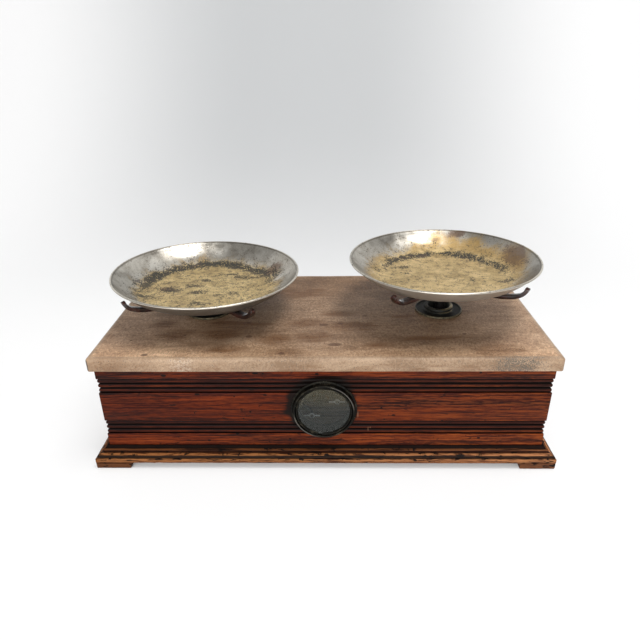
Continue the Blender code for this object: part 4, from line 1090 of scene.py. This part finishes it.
def enamelFinish():
    # dark red stove enamel, chipped to the iron and dull in the shade of the pan
    look = support
    finish = Finish("oxbloodEnamel", Coat_Roughness=0.08, Specular_IOR_Level=0.4)
    cloud = finish.noise((9, 9, 9), 3.0, 0.6)
    fine = finish.noise((1.5, 1.5, 1.5), 3.0, 0.65)
    chips = finish.rise(0.5 * cloud + 0.5 * fine, 0.57, 0.61)
    colour = finish.mix(chips, finish.ramp(cloud, look["red"]), finish.mix(fine, *look["chipped"]))
    stems = []
    for name in sides:
        middle = middleOf(name + "_collar")
        middle.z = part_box(name + "_collar")[1].z
        stems.append(finish.near(middle, (14 * mm, 14 * mm, 60 * mm)))
    stem = finish.rise(finish.highest(stems), 0.1, 0.3)
    finish.feed("Coat Weight", 0.8 - 0.7 * stem)
    colour = finish.mix(stem, colour, look["stemColour"])
    relief = finish.bump(fine - 1.2 * chips, 0.12 * mm, 0.35)
    return finish.paint(colour, 0.25 + 0.3 * chips + 0.1 * fine, relief, 0.6 * chips)


def armOutline(height):
    # (reach, height) points: the arm sags below the pan's wall and curls up at its tip
    look = support
    thick = look["armThickness"]
    start, bow, turn, tip = [Vector((reach, up, 0)) for reach, up in look["armRun"]]
    middle = [(point.x, point.y) for point in interpolate_bezier(start, bow, turn, tip, look["armSteps"])]
    upper = shiftLine(middle, thick / 2)
    lower = shiftLine(middle, -thick / 2)
    return [(reach, up + height) for reach, up in upper + lower[::-1]]


def buildArm(height):
    # one arm towards +x, rounded and narrower at its tip
    look = support
    outline = armOutline(height)
    half = look["armWidth"] / 2
    drawLine([(reach, -half, up) for reach, up in outline], close=True)
    bpy.ops.mesh.extrude_region_move(TRANSFORM_OT_translate={"value": (0, 2 * half, 0)})
    turnOutwards()
    tip = max(reach for reach, up in outline)
    pick("EDGE", lambda a, b: min(a.x, b.x) > tip - 6 * mm and abs(a.y - b.y) < tiny
         and (a - b).length > look["armThickness"] * 0.9)
    bpy.ops.mesh.bevel(offset=look["tipRound"], segments=5)
    for start in look["taperFrom"]:
        pick("VERT", lambda co: co.x > start)
        bpy.ops.transform.resize(value=(1, look["taper"], 1), center_override=(0, 0, 0))
    objectMode()
    arm = bpy.context.object
    bevelEdges(arm, look["armEdge"], 3, 50)
    return arm


def stemProfile(height):
    # (radius, height) points up the spigot, the shoulder, the stem and the hub
    look = support
    spigot, gap, stem, hub, edge = [look[key] for key in ("spigot", "gap", "stem", "hub", "hubEdge")]
    foot = -look["spigotLength"]
    wide = stem + look["shoulder"]
    shoulder, neck = look["shoulderHeights"]
    hubTop = height - gap
    hubLow = hubTop - look["hubHeight"]
    flareLow = hubLow - look["flareDepth"]
    profile = [(0, foot), (spigot - 0.5 * mm, foot), (spigot, foot + 0.5 * mm), (spigot, gap)]
    profile += [(wide - 0.4 * mm, gap), (wide, gap + 0.4 * mm), (wide, shoulder), (stem, neck)]
    profile.append((stem, flareLow))
    profile += arcPoints((hub - edge, flareLow), (stem - hub + edge, look["flareDepth"]), 15, 75, 6)
    profile += [(hub - edge, hubLow), (hub - 0.3 * mm, hubLow + 0.3 * mm), (hub, hubLow + edge)]
    return profile + [(hub, hubTop - 0.5 * mm), (hub - 0.5 * mm, hubTop), (0, hubTop)]


def buildSupports():
    look = support
    enamel = enamelFinish()
    for name, side in sides.items():
        carrier = name + "_carrier"
        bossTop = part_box(carrier)[1].z
        foot = panFoot(name)
        height = (foot.z - bossTop) / math.cos(pan["lean"])
        stem = turnUpright(stemProfile(height), look["sides"])
        arm = buildArm(height)
        arms = [arm] + [copyPiece(arm) for quarter in range(3)]
        for quarter, one in enumerate(arms):
            place(one, turn=(0, 0, math.radians(45 + 90 * quarter) + look["armTurn"][name]))
        reach, down = 2 * look["stem"], look["pinDown"]
        pinHole = addRod(look["pin"], (0, -reach, -down), (0, reach, -down), 24)
        place(pinHole, turn=(0, 0, -look["turn"][name]))
        combine(stem, arms, "UNION")
        combine(stem, [pinHole], "DIFFERENCE")
        place(stem, turn=(0, -side * pan["lean"], look["turn"][name]),
              move=(foot.x + side * height * math.sin(pan["lean"]), 0, bossTop))
        finishPiece(stem, name + "PanSupport", enamel, carrier, "oxblood_paint", name + "_pan_support")
    print("pan supports built")


# pointers in the window
pointer = {
    "length": 20 * mm, "bar": 2 * mm, "tip": 1.3 * mm, "eye": 3.4 * mm, "screw": 1.4 * mm, "edge": 0.25 * mm,
    "steel": [(0.4, (0.62, 0.64, 0.62)), (0.6, (0.88, 0.90, 0.88))],
}


def paleSteelFinish():
    finish = Finish("paleSteel", Metallic=0.2)
    cloud = finish.noise((3, 3, 3), 3.0, 0.6)
    brushed = finish.noise((6, 1, 0.3), 2.0)
    colour = finish.ramp(0.6 * cloud + 0.4 * brushed, pointer["steel"])
    return finish.paint(colour, 0.35 + 0.3 * cloud, finish.bump(brushed, 0.05 * mm, 0.3))


def buildPointers():
    look = pointer
    finish = paleSteelFinish()
    for name in sides:
        node = name + "_index_plate"
        low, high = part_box(node)
        centre = middleOf(node)
        eye = addRod(look["eye"], (centre.x, low.y, centre.z), (centre.x, high.y, centre.z), 40)
        long, tall = look["length"] / 2, look["bar"] / 2
        bar = addBlock((centre.x - long, low.y, centre.z - tall), (centre.x + long, high.y, centre.z + tall))
        editMode()
        for end in (-1, 1):
            pick("FACE", lambda middle, normal: normal.x * end > 0.9)
            bpy.ops.transform.resize(value=(1, 1, look["tip"] / look["bar"]))
        objectMode()
        combine(eye, [bar], "UNION")
        drill(eye, look["screw"], centre, low, high, "y", 24)
        bevelEdges(eye, look["edge"], 2)
        finishPiece(eye, name + "Pointer", finish, name + "_lever", "pale_steel", node)
    print("pointers built")


# the mechanism inside keeps its modelled shapes
mechanism = {
    "black": ((0.011, 0.011, 0.011), (0.023, 0.022, 0.020)),
    "rust": ((0.05, 0.018, 0.008), (0.16, 0.06, 0.022)),
    "ground": ((0.34, 0.34, 0.34), (0.62, 0.62, 0.61)), "spots": (0.12, 0.06, 0.03),
    "board": [(0.4, (0.13, 0.075, 0.04)), (0.5, (0.26, 0.165, 0.09)), (0.6, (0.38, 0.26, 0.155))],
    "knots": (0.07, 0.03, 0.014),
}


def ironFinish():
    # black japanned castings, rusting in places
    finish = Finish("japannedIron", Specular_IOR_Level=0.4)
    cloud = finish.noise((11, 11, 11), 4.0, 0.6)
    cast = finish.noise((3, 3, 3), 2.0, 0.5)
    rust = finish.rise(0.6 * cloud + 0.4 * cast, 0.54, 0.60)
    black, brown = finish.mix(cast, *mechanism["black"]), finish.mix(cast, *mechanism["rust"])
    relief = finish.bump(cast + 0.6 * rust, 0.12 * mm, 0.3)
    return finish.paint(finish.mix(rust, black, brown), 0.5 + 0.35 * rust, relief)


def knifeFinish():
    # ground steel, its fine scratches along the edge, with a few brown spots
    finish = Finish("knifeSteel")
    ground = finish.noise((0.35, 9, 0.35), 2.0, 0.6)
    cloud = finish.noise((4, 4, 4), 3.0, 0.6)
    spotted = finish.rise(cloud, 0.58, 0.64)
    colour = finish.mix(0.7 * spotted, finish.mix(ground, *mechanism["ground"]), mechanism["spots"])
    relief = finish.bump(ground, 0.04 * mm, 0.4)
    return finish.paint(colour, 0.24 + 0.2 * ground + 0.3 * spotted, relief, 1.0 - 0.6 * spotted)


def plainBoardFinish():
    # unpolished softwood, grey with age
    finish = Finish("plainBoard", Specular_IOR_Level=0.2)
    rings = finish.noise((160, 7, 20), 3.0, 0.55, 1.0)
    fine = finish.noise((20, 0.9, 3), 3.0, 0.6)
    colour = finish.ramp(0.6 * rings + 0.4 * fine, mechanism["board"])
    knots = finish.fall(finish.cells((130, 70, 70)), 0.03, 0.09)
    colour = finish.mix(0.8 * knots, colour, mechanism["knots"])
    return finish.paint(colour, 0.6 + 0.25 * fine, finish.bump(0.5 * rings + 0.5 * fine, 0.3 * mm, 0.5))


def dressMechanism():
    finishes = {"black_iron": ironFinish(), "knife_steel": knifeFinish(), "pale_steel": paleSteelFinish(),
                "plain_wood": plainBoardFinish(), "dark_brass": darkBrassFinish("mechanismBrass", 0.45)}
    dressed = 0
    for name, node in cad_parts.items():
        for slot in node.material_slots:
            made = finishes.get(slot.material.name.split(".")[0])
            if name.endswith("index_screw"):  # blackened, so that they don't shine in the window
                made = finishes["black_iron"]
            if made:
                slot.material = made.material
                dressed += 1
    print("mechanism dressed,", dressed, "slots")


buildMarble()
buildBoards()
buildPlinth()
buildWindow()
buildCollars()
buildPans()
buildSupports()
buildPointers()
dressMechanism()


# camera, floor and light
studio = {
    "cameraPlace": (0.0062, -0.67225, 0.46672), "cameraTurn": (64.51846, 0.60844, 0.86804), "lens": 30.935,
    "shift": (0.00198, -0.00908), "clipStart": 0.01, "floorWidth": 8.0, "backdropPlace": 1.3,
    "backdropHeight": 3.0, "sweep": 0.8, "floorColour": (0.93, 0.93, 0.93), "worldColour": (1.0, 1.0, 1.0),
    "worldStrength": 0.34, "seenNear": (1.0, 1.0, 1.0), "seenFar": (0.47, 0.485, 0.495),
    "farFrom": (0.1, 1.15), "darkestAt": -0.06, "darkHalf": (0.15, 0.95), "seenShare": 0.72, "contact": 0.05,
}


def paperFinish():
    # white paper: seen directly or in a reflection it is mostly its own white, greyed far back behind the
    # middle as a painted shade, and it keeps the shadow
    look = studio
    paper = Finish("backdropPaper", Roughness=0.9, Specular_IOR_Level=0.0, Base_Color=look["floorColour"])
    rays = [paper.node("LightPath", out=f"Is {kind} Ray") for kind in ("Camera", "Glossy", "Transmission")]
    across, along, up = paper.own()
    # greyer far back behind the middle: painted shade on the backdrop
    white = paper.mix(paper.rise(along, *look["farFrom"]), look["seenNear"], look["seenFar"])
    white = paper.mix(paper.rise(abs(across - look["darkestAt"]), *look["darkHalf"]), white, look["seenNear"])
    glow = paper.node("Emission", {}, {"Color": white, "Strength": 1.0})
    openness = paper.node("AmbientOcclusion", {"samples": 8}, {"Distance": look["contact"]}, "AO")
    share = paper.highest(rays) * look["seenShare"] * openness
    mixed = paper.node("MixShader", {}, {0: share, 2: glow})
    paper.tree.links.new(paper.shader.outputs[0], mixed.socket.node.inputs[1])
    paper.tree.links.new(mixed.socket, paper.tree.nodes["Material Output"].inputs["Surface"])
    return paper


def placeCamera():
    look = studio
    startAfresh()
    turn = [math.radians(angle) for angle in look["cameraTurn"]]
    bpy.ops.object.camera_add(location=look["cameraPlace"], rotation=turn)
    camera = bpy.context.object
    camera.data.lens = look["lens"]
    camera.data.shift_x, camera.data.shift_y = look["shift"]
    camera.data.clip_start = look["clipStart"]
    bpy.context.scene.camera = camera


def buildFloor():
    # a floor that sweeps up into a backdrop
    look = studio
    wide = look["floorWidth"]
    startAfresh()
    bpy.ops.mesh.primitive_plane_add(size=wide, location=(0, look["backdropPlace"] - wide / 2, 0))
    floor = bpy.context.object
    bpy.ops.object.transform_apply()
    editMode()
    pick("EDGE", lambda a, b: min(a.y, b.y) > look["backdropPlace"] - mm)
    bpy.ops.mesh.extrude_region_move(TRANSFORM_OT_translate={"value": (0, 0, look["backdropHeight"])})
    pick("EDGE", lambda a, b: min(a.y, b.y) > look["backdropPlace"] - mm and max(a.z, b.z) < mm)
    bpy.ops.mesh.bevel(offset=look["sweep"], segments=24)
    objectMode()
    bpy.ops.object.shade_smooth()
    floor.name = "studioFloor"
    floor.data.materials.append(paperFinish().material)


def lightWorld():
    world = bpy.data.worlds.new("studioWorld")
    bpy.context.scene.world = world
    world.use_nodes = True
    background = world.node_tree.nodes["Background"]
    background.inputs["Color"].default_value = (*studio["worldColour"], 1)
    background.inputs["Strength"].default_value = studio["worldStrength"]
    bpy.context.scene.view_settings.view_transform = "Standard"


lamps = {
    "overheadBox": {"place": (0.62, -0.3, 2.4), "aim": (0, 0, 0.1), "size": (1.2, 0.8), "power": 34.0},
    "frontBox": {"place": (-0.3, -2.0, 0.95), "aim": (0, 0, 0.1), "size": (1.8, 1.0), "power": 31.0},
}


def buildLamps():
    for name, lamp in lamps.items():
        startAfresh()
        turn = (Vector(lamp["aim"]) - Vector(lamp["place"])).to_track_quat("-Z", "Y").to_euler()
        bpy.ops.object.light_add(type="AREA", location=lamp["place"], rotation=turn)
        light = bpy.context.object
        light.name = name
        light.data.shape = "RECTANGLE"
        light.data.size, light.data.size_y = lamp["size"]
        light.data.energy = lamp["power"]


placeCamera()
buildFloor()
lightWorld()
buildLamps()
print("studio set")
